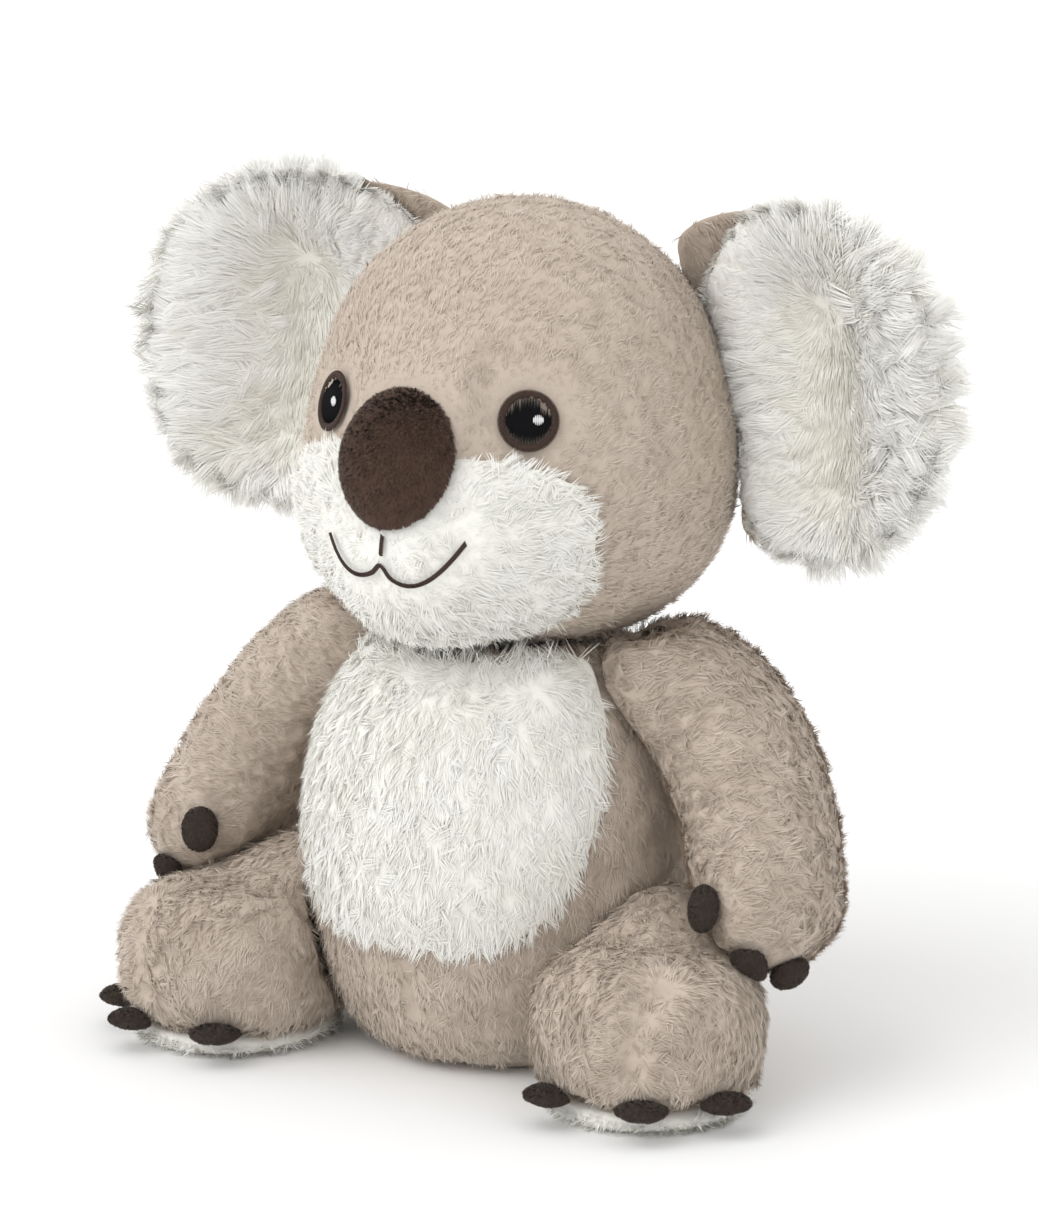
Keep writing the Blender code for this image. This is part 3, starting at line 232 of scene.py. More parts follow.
# How far the valley's locks darken toward the creamy colour, and over what reach: painted shade in
# the hollow
EAR_VALLEY_PAINTED_SHADE = 1.0
EAR_VALLEY_PAINTED_SHADE_REACH = 0.011
EAR_VALLEY_TURN = 0.012
EAR_DIP = 0.0030
EAR_DIP_WIDTH = 0.010
EAR_ROLL = 0.0050
EAR_ROLL_PLACE = 0.027
EAR_ROLL_WIDTH = 0.015
EAR_FACING = (0.2, 0.7)

# The locks of the ears, and the nap on their backs
# How far the ears' locks lean to the tip colour: painted light against their own shadow
EAR_PAINTED_LIGHT = 0.36
EAR_DROOP = 0.15
EAR_VALLEY_LENGTH = 0.62
EAR_LONGER_BETWEEN = (0.004, 0.022)
EAR_EDGE = 0.02
# The ears' bare skin takes the root colour: painted shade in the valley and between the locks
EAR_SKIN_PAINTED_SHADE = 0.02
EAR_CLEARANCE = 0.0012
EAR_BACK_NAP = (0.8, 0.0, -0.6)

# Where the taupe of each ear's back shows in front: angles round the ear, and reach
EAR_TRIMS = (138.0, 234.0)
EAR_TRIM_SPREAD = 27.0
EAR_TRIM_SHARE = 0.70
EAR_TRIM_BETWEEN = (0.016, 0.034)
EAR_TRIM_LEAST = 0.2

# The seam down the torso's front, its places as shares of the belly panel's lowest level
SEAM_SHARES = (1.0, 0.7, 0.4, 0.1)
SEAM_AHEAD = 0.1
SEAM_GROOVE = {"depth": 0.0016, "reach": 0.0030}
SEAM_TRIM = {"reach": 0.0018, "least": 0.55}
SEAM_PARTING = 0.003
TORSO_PILE_ABOVE = 0.004

# How far below the neck the pile of the torso and the belly turns up, and how it does
NECK_REACH = 0.020
NECK_LENGTH = 0.45
NECK_OUTWARD = 0.5
BELLY_RISE_REACH = 0.013
BELLY_RISE_LENGTH = 0.60
BELLY_TURN = 2.4
BELLY_WANDER = {"height": 0.004, "size": 0.030, "seed": 21}
BELLY_ASIDE = {"size": 0.016, "seed": 22}

# The dart over each foot: azimuths and levels, and how far off it is aimed
DART = ((37.0, 0.046), (30.0, 0.038), (22.0, 0.028), (18.0, 0.016))
DART_REACH = 0.032
DART_GROOVE = {"depth": 0.0030, "reach": 0.0040}
DART_TRIM = {"reach": 0.003, "least": 0.5}
DART_PARTING = 0.014
LEG_NAP = (0.25, -0.45, -0.75)
SOLE_LEVELS = 1
SOLE_PILE_ABOVE = 0.0008
SOLE_FACING = 0.5

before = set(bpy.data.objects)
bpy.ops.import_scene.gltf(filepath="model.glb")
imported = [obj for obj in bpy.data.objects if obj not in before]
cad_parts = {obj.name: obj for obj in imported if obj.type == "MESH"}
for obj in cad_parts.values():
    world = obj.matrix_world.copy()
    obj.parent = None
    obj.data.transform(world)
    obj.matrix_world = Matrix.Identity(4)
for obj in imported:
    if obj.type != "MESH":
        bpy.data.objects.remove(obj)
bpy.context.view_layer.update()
random = np.random.default_rng(5)


def unit(vectors):
    """Vectors scaled to length one."""
    vectors = np.asarray(vectors, dtype=float)
    return vectors / np.maximum(np.linalg.norm(vectors, axis=-1, keepdims=True), 1e-12)


def corners_of(node):
    """The low and the high corner of a node's box."""
    return (np.array(corner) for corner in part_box(node))


def middle_of(node):
    """The middle of a node's box."""
    low, high = corners_of(node)
    return (low + high) / 2.0


def smoothstep(values, low, high):
    """0 below low, 1 above high, and a smooth rise between them."""
    share = np.clip((values - low) / (high - low), 0.0, 1.0)
    return share * share * (3.0 - 2.0 * share)


def bell(values, width):
    """1 at zero, falling smoothly to nothing over a width."""
    return np.exp(-((values / width) ** 2))


def ripple(points, size, seed):
    """A smooth value from -1 to 1 that wanders over points, with waves of a size."""
    source = np.random.default_rng(seed)
    total = np.zeros(len(points))
    for _ in range(RIPPLE_WAVES):
        way = unit(source.normal(size=3))
        wave = math.tau / (size * source.uniform(*RIPPLE_STRETCH))
        total += np.sin(points @ way * wave + source.uniform(0.0, math.tau))
    return np.clip(total / RIPPLE_PEAK, -1.0, 1.0)


def nearest_on(line, points):
    """The nearest places on a line for some points, and the gaps to them."""
    best = np.full(len(points), np.inf)
    spots = np.zeros((len(points), 3))
    for start, end in zip(line, line[1:]):
        along = end - start
        share = np.clip((points - start) @ along / (along @ along), 0.0, 1.0)
        here = start + share[:, None] * along
        gap = np.linalg.norm(points - here, axis=1)
        spots[gap < best] = here[gap < best]
        best = np.minimum(best, gap)
    return spots, best


def smooth_line(points, spacing):
    """A smooth line through some points, with evenly spaced points of its own."""
    ahead = 2.0 * points[0] - points[1]
    beyond = 2.0 * points[-1] - points[-2]
    points = np.concatenate([[ahead], points, [beyond]])
    fine = []
    for before, start, end, after in zip(points, points[1:], points[2:], points[3:]):
        for share in np.linspace(0.0, 1.0, CURVE_STEPS, endpoint=False):
            fine.append(
                start
                + 0.5 * share * (end - before)
                + share**2 * (before - 2.5 * start + 2.0 * end - 0.5 * after)
                + share**3 * (1.5 * (start - end) + 0.5 * (after - before))
            )
    fine = np.array([*fine, points[-2]])
    steps = np.concatenate([[0.0], np.cumsum(np.linalg.norm(np.diff(fine, axis=0), axis=1))])
    stops = np.linspace(0.0, steps[-1], max(int(steps[-1] / spacing), 3))
    return np.stack([np.interp(stops, steps, fine[:, axis]) for axis in range(3)], axis=1)


class Skin:
    """A smoothed surface: its points, their normals and its triangles."""

    def __init__(self, points, normals, triangles):
        self.points = points
        self.normals = normals
        self.triangles = triangles

    def kept(self, wanted):
        """The same skin with only the wanted triangles."""
        return Skin(self.points, self.normals, self.triangles[wanted])

    def centres(self):
        """The middle and the outward way of each triangle."""
        corners = self.points[self.triangles]
        ways = np.cross(corners[:, 1] - corners[:, 0], corners[:, 2] - corners[:, 0])
        return corners.mean(axis=1), ways

    def moved(self, offsets):
        """The same skin with each point moved along its normal."""
        points = self.points + self.normals * offsets[:, None]
        made = Skin(points, self.normals, self.triangles)
        _, ways = made.centres()
        normals = np.zeros_like(points)
        for corner in range(3):
            np.add.at(normals, self.triangles[:, corner], ways)
        lengths = np.linalg.norm(normals, axis=1, keepdims=True)
        made.normals = np.where(lengths > 0.0, unit(normals), self.normals)
        return made


def skin_of(node, levels=SKIN_LEVELS):
    """The skin of a node's solid, welded and smoothed."""
    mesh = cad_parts[node].data.copy()
    work = bmesh.new()
    work.from_mesh(mesh)
    bmesh.ops.remove_doubles(work, verts=work.verts, dist=WELD_DISTANCE)
    work.to_mesh(mesh)
    work.free()
    thing = bpy.data.objects.new("skin_work", mesh)
    bpy.context.scene.collection.objects.link(thing)
    smooth = thing.modifiers.new("smooth", "SUBSURF")
    smooth.levels = levels
    seen = thing.evaluated_get(bpy.context.evaluated_depsgraph_get())
    made = seen.to_mesh()
    made.calc_loop_triangles()
    points = np.empty(len(made.vertices) * 3)
    made.vertices.foreach_get("co", points)
    normals = np.empty(len(made.vertices) * 3)
    made.vertices.foreach_get("normal", normals)
    triangles = np.empty(len(made.loop_triangles) * 3, dtype=np.int32)
    made.loop_triangles.foreach_get("vertices", triangles)
    seen.to_mesh_clear()
    bpy.data.objects.remove(thing)
    bpy.data.meshes.remove(mesh)
    return Skin(points.reshape(-1, 3), normals.reshape(-1, 3), triangles.reshape(-1, 3))


def facing_out(skin, centre, least=0.0):
    """The triangles of a skin that face away from a centre."""
    spots, ways = skin.centres()
    return skin.kept(np.sum(unit(ways) * unit(spots - centre), axis=1) > least)


def outer_skin(node):
    """The outer face of a hollow cover, without its cavity."""
    return facing_out(skin_of(node), middle_of(node))


def lumpy(skin, seed):
    """A skin with soft lumps, as filling and tufts raise it."""
    return skin.moved(LUMP_HEIGHT * ripple(skin.points, LUMP_SIZE, seed))


def grooved(skin, lines, depth, reach):
    """A skin that is drawn in along some lines."""
    offsets = np.zeros(len(skin.points))
    for line in lines:
        offsets -= depth * bell(nearest_on(line, skin.points)[1], reach)
    return skin.moved(offsets)


def tree_of(nodes):
    """A tree that finds the nearest point on some nodes."""
    points = []
    faces = []
    for node in nodes:
        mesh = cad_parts[node].data
        start = len(points)
        points.extend(vertex.co.copy() for vertex in mesh.vertices)
        faces.extend([start + number for number in face.vertices] for face in mesh.polygons)
    return BVHTree.FromPolygons(points, faces)


def distance_to(tree, points, limit):
    """How far points lie from a tree's surface, up to a limit."""
    found = np.full(len(points), limit)
    for number, point in enumerate(points):
        hit = tree.find_nearest(Vector(point), limit)
        if hit[3] is not None:
            found[number] = hit[3]
    return found


def on_skin(skin, points):
    """The nearest points of a skin."""
    tree = BVHTree.FromPolygons(skin.points.tolist(), skin.triangles.tolist())
    return np.array([tree.find_nearest(Vector(point))[0] for point in points])


def new_mesh(name, points, triangles, look, uv=None, normals=None):
    """A mesh of triangles, with places on its colour map and normals where it has them."""
    mesh = bpy.data.meshes.new(name)
    mesh.vertices.add(len(points))
    mesh.vertices.foreach_set("co", points.astype(np.float32).ravel())
    mesh.loops.add(len(triangles) * 3)
    mesh.loops.foreach_set("vertex_index", triangles.astype(np.int32).ravel())
    mesh.polygons.add(len(triangles))
    mesh.polygons.foreach_set("loop_start", np.arange(len(triangles), dtype=np.int32) * 3)
    mesh.polygons.foreach_set("use_smooth", np.ones(len(triangles), dtype=bool))
    mesh.update(calc_edges=True)
    if uv is not None:
        layer = mesh.uv_layers.new(name="OFBake")
        layer.data.foreach_set("uv", uv.astype(np.float32).ravel())
    if normals is not None:
        layer = mesh.attributes.new("custom_normal", "FLOAT_VECTOR", "POINT")
        layer.data.foreach_set("vector", normals.astype(np.float32).ravel())
    mesh.materials.append(look)
    return mesh


def add_piece(name, mesh, node, body):
    """A piece that stands for a node and rides on its body."""
    piece = bpy.data.objects.new(name, mesh)
    bpy.context.scene.collection.objects.link(piece)
    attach(piece, body)
    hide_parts(node)


def sown(skin, pile, keep):
    """Roots scattered evenly over a skin, and the skin's normals there."""
    _, ways = skin.centres()
    areas = np.linalg.norm(ways, axis=1) / 2.0
    count = int(min(pile["count"], areas.sum() * pile["density"]))
    chosen = random.choice(len(areas), size=count, p=areas / areas.sum())
    first, second = random.random((2, count))
    over = first + second > 1.0
    first[over] = 1.0 - first[over]
    second[over] = 1.0 - second[over]
    shares = np.stack([1.0 - first - second, first, second], axis=1)[..., None]
    corners = skin.triangles[chosen]
    roots = np.sum(skin.points[corners] * shares, axis=1)
    normals = unit(np.sum(skin.normals[corners] * shares, axis=1))
    if keep is not None:
        wanted = keep(roots, normals)
        roots = roots[wanted]
        normals = normals[wanted]
    return roots, normals


class Tufts:
    """Which tuft each blade belongs to, and how many blades each tuft holds."""

    def __init__(self, roots, size):
        blurred = roots + random.normal(size=roots.shape) * size * TUFT_BLUR
        cells = np.floor(blurred / size).astype(np.int64)
        _, owner = np.unique(cells @ np.array(CELL_KEYS), return_inverse=True)
        self.owner = owner.ravel()
        self.sizes = np.bincount(self.owner)
        self.count = len(self.sizes)

    def centred(self, values):
        """The mean of some values over each blade's tuft."""
        sums = [np.bincount(self.owner, values[:, axis]) for axis in range(3)]
        return np.stack([total / self.sizes for total in sums], axis=1)[self.owner]


def blades(skin, pile, comb, keep=None, shorten=None, painted_light_and_shade=None):
    """Blades of pile: their points, normals, triangles and places on the colour map."""
    roots, normals = sown(skin, pile, keep)
    count = len(roots)
    tufts = Tufts(roots, pile["tuft"])
    lengths = pile["length"] * random.uniform(*BLADE_LENGTHS, count)
    lengths *= random.uniform(*TUFT_LENGTHS, tufts.count)[tufts.owner]
    wave = ripple(roots, pile["tuft"] * LENGTH_WAVE["tufts"], LENGTH_WAVE["seed"])
    lengths *= 1.0 + LENGTH_WAVE["height"] * wave
    if shorten is not None:
        lengths *= shorten(roots)
    reach = lengths[:, None]

    turn = random.normal(size=(tufts.count, 3))[tufts.owner] * pile["mess"]
    stray = random.normal(size=(count, 3)) * pile["stray"]
    nap = unit(comb(roots, normals)) + turn
    nap = unit(nap - np.sum(nap * normals, axis=1, keepdims=True) * normals)
    lean = pile["lean"] + random.normal(size=tufts.count)[tufts.owner, None] * pile["vary"]
    lean = np.clip(lean, *LEAN_LIMITS)
    rise = unit(normals * (1.0 - lean) + nap * lean + stray)
    bent = nap + turn * CURL_TURN - normals * CURL_DROOP
    fall = unit(rise + bent * pile["curl"] + stray)
    pull = (pile["gather"] * random.uniform(*GATHER_SHARES, count))[:, None]
    spine = []
    for stop in BLADE_STOPS:
        spot = roots + reach * (rise * stop + (fall - rise) * stop * stop * 0.5)
        spine.append(spot + (tufts.centred(spot) - spot) * pull * stop)

    twist = random.normal(size=(count, 3)) * BLADE_TWIST * reach
    around = unit(np.cross(spine[-1] - roots, normals) + twist)
    width = (pile["width"] * random.uniform(*BLADE_WIDTHS, count) / 2.0)[:, None]
    flat = unit(np.cross(around, spine[-1] - roots))
    rows = []
    shades = []
    for stop, spot in zip(BLADE_STOPS, spine):
        puffed = (spot - tufts.centred(spot)) / pile["tuft"] * TUFT_PUFF * stop
        plain = normals * pile["soft"] + flat * (1.0 - pile["soft"]) + puffed + stray
        if stop == 1.0:
            rows.append(spot)
            shades.append(unit(plain))
        else:
            side = around * width * (1.0 - BLADE_TAPER * stop)
            base = spot - normals * pile["sink"] * (stop == 0.0)
            rows += [base - side, base + side]
            rounding = around * BLADE_ROUNDING
            shades += [unit(plain - rounding), unit(plain + rounding)]
    points = np.stack(rows, axis=1).reshape(-1, 3)
    points[:, 2] = np.maximum(points[:, 2], BLADE_ABOVE_FLOOR)
    shading = np.stack(shades, axis=1).reshape(-1, 3)
    faces = np.array(BLADE_FACES)
    triangles = (faces[None] + len(rows) * np.arange(count)[:, None, None]).reshape(-1, 3)

    # Each blade's shade picks its colour between the darker and the tip colour: at random by tuft
    # and by wave, by the piece's shade (painted shade on the limbs, painted light on the torso),
    # and on the ears by painted light on the locks and painted shade in their valley. Along the
    # blade the colour runs from the root's painted shade to the tip
    wave = ripple(roots, pile["tuft"] * SHADE_WAVE["tufts"], SHADE_WAVE["seed"])
    shade = pile["shade"] + pile["waves"] * wave
    shade += TUFT_SHADES * (random.random(tufts.count)[tufts.owner] - 0.5)
    shade += random.normal(size=count) * BLADE_SHADES
    if painted_light_and_shade is not None:
        shade += painted_light_and_shade(roots)
    shade = np.clip(shade, *SHADE_LIMITS)
    across, along = np.array(BLADE_PLACES).T
    uv = np.empty((count, len(rows), 2))
    uv[:, :, 0] = shade[:, None] + (across - 0.5) * SHADE_ACROSS
    uv[:, :, 1] = along
    return points, shading, triangles, uv[:, faces].reshape(-1, 2)


def add_plush(name, node, body, look, skin, pile, base=SKIN_PAINTED_SHADE):
    """A plush piece: the skin of a node and the pile that grows on it."""
    blade_points, blade_normals, blade_triangles, blade_places = pile
    level = np.maximum(skin.points[:, 2], 0.0)
    skin_points = np.column_stack([skin.points[:, :2], level])
    skin_places = np.tile(np.array(SKIN_PLACES) + (0.0, base), (len(skin.triangles), 1))
    mesh = new_mesh(
        name,
        np.concatenate([skin_points, blade_points]),
        np.concatenate([skin.triangles, blade_triangles + len(skin_points)]),
        look,
        np.concatenate([skin_places, blade_places]),
        np.concatenate([skin.normals, blade_normals]),
    )
    add_piece(name, mesh, node, body)


def mixed(tree, first, second, share):
    """A node that mixes two colours by a share."""
    mix = tree.nodes.new("ShaderNodeMix")
    mix.data_type = "RGBA"
    for socket, value in ((6, first), (7, second)):
        if isinstance(value, tuple):
            mix.inputs[socket].default_value = (*value, 1.0)
        else:
            tree.links.new(value, mix.inputs[socket])
    tree.links.new(share, mix.inputs[0])
    return mix.outputs[2]


def new_material(name, roughness, specular):
    """A material, its node tree and its shader."""
    made = bpy.data.materials.new(name)
    made.use_nodes = True
    shader = made.node_tree.nodes["Principled BSDF"]
    shader.inputs["Roughness"].default_value = roughness
    shader.inputs["Specular IOR Level"].default_value = specular
    return made, made.node_tree, shader


def pile_material(name, colours, roughness, sheen):
    """Pile that is darker at its roots, as painted shade deep in the pile, and whose tufts differ
    in shade, partly at random and partly as painted shade and light.
    """
    root, tip, shaded = colours
    made, tree, shader = new_material(name, roughness, PILE_SPECULAR)
    place = tree.nodes.new("ShaderNodeUVMap")
    place.uv_map = "OFBake"
    split = tree.nodes.new("ShaderNodeSeparateXYZ")
    tree.links.new(place.outputs["UV"], split.inputs[0])
    rise = tree.nodes.new("ShaderNodeMath")
    rise.operation = "POWER"
    rise.inputs[1].default_value = ROOT_PAINTED_SHADE_FADE
    rise.use_clamp = True
    tree.links.new(split.outputs["Y"], rise.inputs[0])
    tips = mixed(tree, shaded, tip, split.outputs["X"])
    colour = mixed(tree, root, tips, rise.outputs[0])
    tree.links.new(colour, shader.inputs["Base Color"])
    shader.inputs["Sheen Weight"].default_value = sheen
    shader.inputs["Sheen Roughness"].default_value = SHEEN_ROUGHNESS
    return made


def thread_material(name, colour, roughness, specular):
    """Embroidery thread, with a fine change of shade along it."""
    made, tree, shader = new_material(name, roughness, specular)
    place = tree.nodes.new("ShaderNodeTexCoord")
    noise = tree.nodes.new("ShaderNodeTexNoise")
    noise.inputs["Scale"].default_value = THREAD_GRAIN
    tree.links.new(place.outputs["Object"], noise.inputs["Vector"])
    dark = tuple(value * THREAD_DARK for value in colour)
    light = tuple(min(value * THREAD_LIGHT, THREAD_BRIGHTEST) for value in colour)
    shade = mixed(tree, dark, light, noise.outputs["Fac"])
    tree.links.new(shade, shader.inputs["Base Color"])
    return made


def strands(paths, radius):
    """Round threads along paths, pinched at both ends, as points and triangles."""
    points = []
    triangles = []
    around = np.arange(THREAD_SIDES) * math.tau / THREAD_SIDES
    for path in paths:
        path = np.asarray(path)
        along = unit(np.gradient(path, axis=0))
        side = unit(np.cross(along, THREAD_BESIDE))
        other = np.cross(along, side)
        shares = THREAD_END + (1.0 - 2.0 * THREAD_END) * np.linspace(0.0, 1.0, len(path))
        girth = np.clip(np.sin(math.pi * shares), THREAD_THINNEST, 1.0)
        girth = radius * np.sqrt(girth)[:, None, None]
        ring = np.cos(around)[None, :, None] * side[:, None]
        ring = ring + np.sin(around)[None, :, None] * other[:, None]
        start = len(points)
        points.extend((path[:, None] + ring * girth).reshape(-1, 3))
        for row in range(len(path) - 1):
            for step in range(THREAD_SIDES):
                here = start + row * THREAD_SIDES + step
                beside = start + row * THREAD_SIDES + (step + 1) % THREAD_SIDES
                triangles.append((here, beside, beside + THREAD_SIDES))
                triangles.append((here, beside + THREAD_SIDES, here + THREAD_SIDES))
        last = start + (len(path) - 1) * THREAD_SIDES
        for step in range(1, THREAD_SIDES - 1):
            triangles.append((start, start + step + 1, start + step))
        for step in range(1, THREAD_SIDES - 1):
            triangles.append((last, last + step, last + step + 1))
    return np.array(points), np.array(triangles)


def add_stitches(name, node, look, paths, radius):
    """Satin stitches that stand for an embroidered node of the head."""
    points, triangles = strands(paths, radius)
    add_piece(name, new_mesh(name, points, triangles, look), node, "head")


taupe = pile_material("taupe_pile", TAUPE, roughness=0.90, sheen=0.08)
white = pile_material("white_pile", WHITE, roughness=0.90, sheen=0.05)
ear_white = pile_material("ear_white_pile", EAR_WHITE, roughness=0.90, sheen=0.05)
velour = pile_material("nose_velour_pile", VELOUR, roughness=0.80, sheen=0.20)
felt = pile_material("claw_felt_pile", FELT, roughness=0.95, sheen=0.10)
brown_thread = thread_material("brown_satin_stitch", BROWN_THREAD, roughness=0.50, specular=0.20)
black_thread = thread_material("black_satin_stitch", BLACK_THREAD, roughness=0.70, specular=0.05)
white_thread = thread_material("white_satin_stitch", WHITE_THREAD, roughness=0.50, specular=0.20)
filling = thread_material("polyester_fibre", FILLING, roughness=0.80, specular=0.20)

NOSE = middle_of("nose")
HEAD = middle_of("head_cover")
TORSO = middle_of("torso_cover")
EYES = {side: middle_of("eye_pupil_" + side) for side in SIDES}


def away_from(point, lift=0.0):
    """A nap that runs away from a point, with some lift."""

    def comb(roots, normals):
        return unit(roots - point) + lift * UP

    return comb


def toward(way):
    """A nap that runs one way all over."""

    def comb(roots, normals):
        return np.tile(unit(way), (len(roots), 1))

    return comb


def parted(comb, lines, reach):
    """A nap that turns away from some lines beside them."""

    def turned(roots, normals):
        nap = unit(comb(roots, normals))
        for line in lines:
            spots, gaps = nearest_on(line, roots)
            share = bell(gaps, reach)[:, None]
            nap = nap * (1.0 - share) + unit(roots - spots) * share
        return nap

    return turned


def clear_of(nodes, least):
    """Keeps only the roots that lie clear of some nodes."""
    tree = tree_of(nodes)

    def keep(roots, normals):
        return distance_to(tree, roots, least * 2.0) > least

    return keep


def shorter_near(nodes, near, far, least):
    """Pile that is cut short beside some nodes."""
    tree = tree_of(nodes)

    def factor(roots):
        return least + (1.0 - least) * smoothstep(distance_to(tree, roots, far), near, far)

    return factor


def shorter_along(line, reach, least, also=None):
    """Pile that is cut short beside a line, such as a seam."""

    def factor(roots):
        share = np.ones(len(roots)) if also is None else also(roots)
        return share * (1.0 - (1.0 - least) * bell(nearest_on(line, roots)[1], reach))

    return factor


def add_head():
    """The head's cover, with its bridge, its crown and a wrinkle."""
    skin = outer_skin("head_cover")
    brow = (EYES["left"] + EYES["right"]) / 2.0 + BRIDGE_ABOVE * UP
    across = 1.0 - smoothstep(np.abs(skin.points[:, 0] - brow[0]), BRIDGE_INNER, BRIDGE_OUTER)
    upward = bell(skin.points[:, 2] - brow[2], BRIDGE_HALF_HEIGHT)
    front = smoothstep(brow[1] + BRIDGE_BEHIND - skin.points[:, 1], 0.0, BRIDGE_FADE)
    level = HEAD[2] + CROWN_ABOVE
    crown = smoothstep(skin.points[:, 2], level, level + CROWN_REACH)
    skin = skin.moved(BRIDGE_HEIGHT * across * upward * front + CROWN_HEIGHT * crown)
    wrinkle = on_skin(skin, [EYES["right"] + np.array(step) for step in WRINKLE])
    skin = lumpy(grooved(skin, [wrinkle], **WRINKLE_GROOVE), LUMP_SEEDS["head"])

    eyes = [f"eye_{part}_{side}" for part in ("ring", "pupil") for side in SIDES]
    covered = clear_of(["muzzle_panel", "nose", *eyes], PANEL_CLEARANCE)
    trims = shorter_near([*eyes, "nose"], **FACE_TRIM)
    shorter = shorter_along(wrinkle, **WRINKLE_TRIM, also=trims)
    partings = [[eye, eye + EYE_PARTING_LENGTH * UP] for eye in EYES.values()]
    nap = parted(away_from(NOSE - NAP_BELOW * UP, NAP_LIFT), [*partings, wrinkle], FACE_PARTING)
    pile = blades(skin, HEAD_PILE, nap, covered, shorter)
    add_plush("head_plush", "head_cover", "head", taupe, skin, pile)


def add_muzzle():
    """The white muzzle, whose pile runs away from the mouth."""
    skin = skin_of("muzzle_panel")
    stitched = ["mouth_stitch", "philtrum_stitch"]
    covered = clear_of(["nose", *stitched], STITCH_CLEARANCE)
    trims = shorter_near([*stitched, "nose"], **STITCH_TRIM)
    nap = away_from(middle_of("philtrum_stitch"))
    pile = blades(facing_out(skin, HEAD, PANEL_FACING), MUZZLE_PILE, nap, covered, trims)
    add_plush("muzzle_plush", "muzzle_panel", "head", white, skin, pile)


def add_nose():
    """The velour nose."""
    skin = skin_of("nose")
    pile = blades(facing_out(skin, HEAD, NOSE_FACING), VELOUR_PILE, toward(-UP))
    add_plush("nose_velour", "nose", "head", velour, skin, pile)


class Eye:
    """Where one embroidered eye lies, and the solids that its stitches cover."""

    def __init__(self, side):
        low, high = corners_of("eye_ring_" + side)
        self.middle = (low + high) / 2.0
        self.facing = unit(self.middle - HEAD)
        self.across = unit(np.cross(UP, self.facing))
        self.upright = np.cross(self.facing, self.across)
        self.radius = (high[2] - low[2]) / 2.0 / self.upright[2]
        self.tree = tree_of(["eye_ring_" + side, "eye_pupil_" + side])

    def stitch(self, start, end, lift):
        """Points over the eye from one flat place to another, raised between them."""
        path = []
        for share in np.linspace(0.0, 1.0, EYE_STITCH_POINTS):
            wide, tall = np.array(start) * (1.0 - share) + np.array(end) * share
            spot = self.middle + self.across * wide + self.upright * tall
            aim = Vector(spot + self.facing * EYE_AIM)
            hit = self.tree.ray_cast(aim, Vector(-self.facing), 2.0 * EYE_AIM)
            if hit[0] is not None:
                rise = EYE_STITCH_GAP + lift * math.sin(math.pi * share)
                path.append(np.array(hit[0]) + self.facing * rise)
        return path


def row_places(half_width, count):
    """Evenly spaced places of some rows, half a row inside both ends of a width."""
    return half_width * (2.0 * (np.arange(count) + 0.5) / count - 1.0)


def add_eye_ring(eye, side):
    """Slanted stitches all round the eye's ring."""
    inner = eye.radius * PUPIL_SHARE
    outer = eye.radius * RING_EDGE
    paths = []
    for turn in np.arange(RING_STITCHES) * math.tau / RING_STITCHES:
        slant = turn + RING_SLANT
        start = (inner * math.cos(turn), inner * math.sin(turn))
        end = (outer * math.cos(slant), outer * math.sin(slant))
        paths.append(eye.stitch(start, end, RING_LIFT))
    paths = [path for path in paths if len(path) > 2]
    name = "eye_ring_" + side
    add_stitches(name + "_stitches", name, brown_thread, paths, RING_THREAD)


def add_eye_pupil(eye, side):
    """Upright rows of stitches over the eye's pupil, highest in its middle."""
    radius = eye.radius * PUPIL_SHARE
    paths = []
    for wide in row_places(radius, PUPIL_ROWS):
        half = math.sqrt(radius**2 - wide**2) * PUPIL_EDGE
        lift = PUPIL_LIFT * (1.0 - (wide / radius) ** 2)
        paths.append(eye.stitch((wide, -half), (wide, half), lift))
    paths = [path for path in paths if len(path) > 2]
    name = "eye_pupil_" + side
    add_stitches(name + "_stitches", name, black_thread, paths, PUPIL_THREAD)


def add_eye_glint(eye, side):
    """A few white stitches for the eye's glint."""
    low, high = corners_of("eye_glint_" + side)
    centre = (low + high) / 2.0 + eye.facing * GLINT_LIFT
    size = (high[2] - low[2]) / 2.0
    paths = []
    for wide in row_places(size, GLINT_ROWS):
        half = math.sqrt(size**2 - wide**2)
        steps = np.linspace(-half, half, GLINT_POINTS)
        paths.append([centre + eye.across * wide + eye.upright * step for step in steps])
    name = "eye_glint_" + side
    add_stitches(name + "_stitches", name, white_thread, paths, GLINT_THREAD)


def add_eyes():
    """Both embroidered eyes."""
    for side in SIDES:
        eye = Eye(side)
        add_eye_ring(eye, side)
        add_eye_pupil(eye, side)
        add_eye_glint(eye, side)


def stitch_line(node):
    """Slanted satin stitches across a long thin node, from one end to the other."""
    points = skin_of(node, 0).points
    long_axis = 0 if np.ptp(points[:, 0]) > np.ptp(points[:, 2]) else 2
    order = np.argsort(points[:, long_axis])
    spine = points[order].reshape(-1, MOUTH_RING_POINTS, 3).mean(axis=1)
    line = smooth_line(spine, STITCH_SPACING)
    along = unit(np.gradient(line, axis=0))
    outward = unit(line - HEAD)
    across = unit(np.cross(outward, along))
    steps = np.linspace(-1.0, 1.0, STITCH_POINTS)[:, None]
    paths = []
    for spot, way, side, out in zip(line, along, across, outward):
        half = side * STITCH_WIDTH / 2.0 + way * STITCH_SLANT
        paths.append(spot + half * steps + out * (STITCH_RISE - STITCH_ARCH * steps * steps))
    return paths


def add_mouth():
    """The satin-stitched mouth and the line above it."""
    for node in ("mouth_stitch", "philtrum_stitch"):
        paths = stitch_line(node)
        add_stitches(node + "es", node, brown_thread, paths, MOUTH_THREAD)


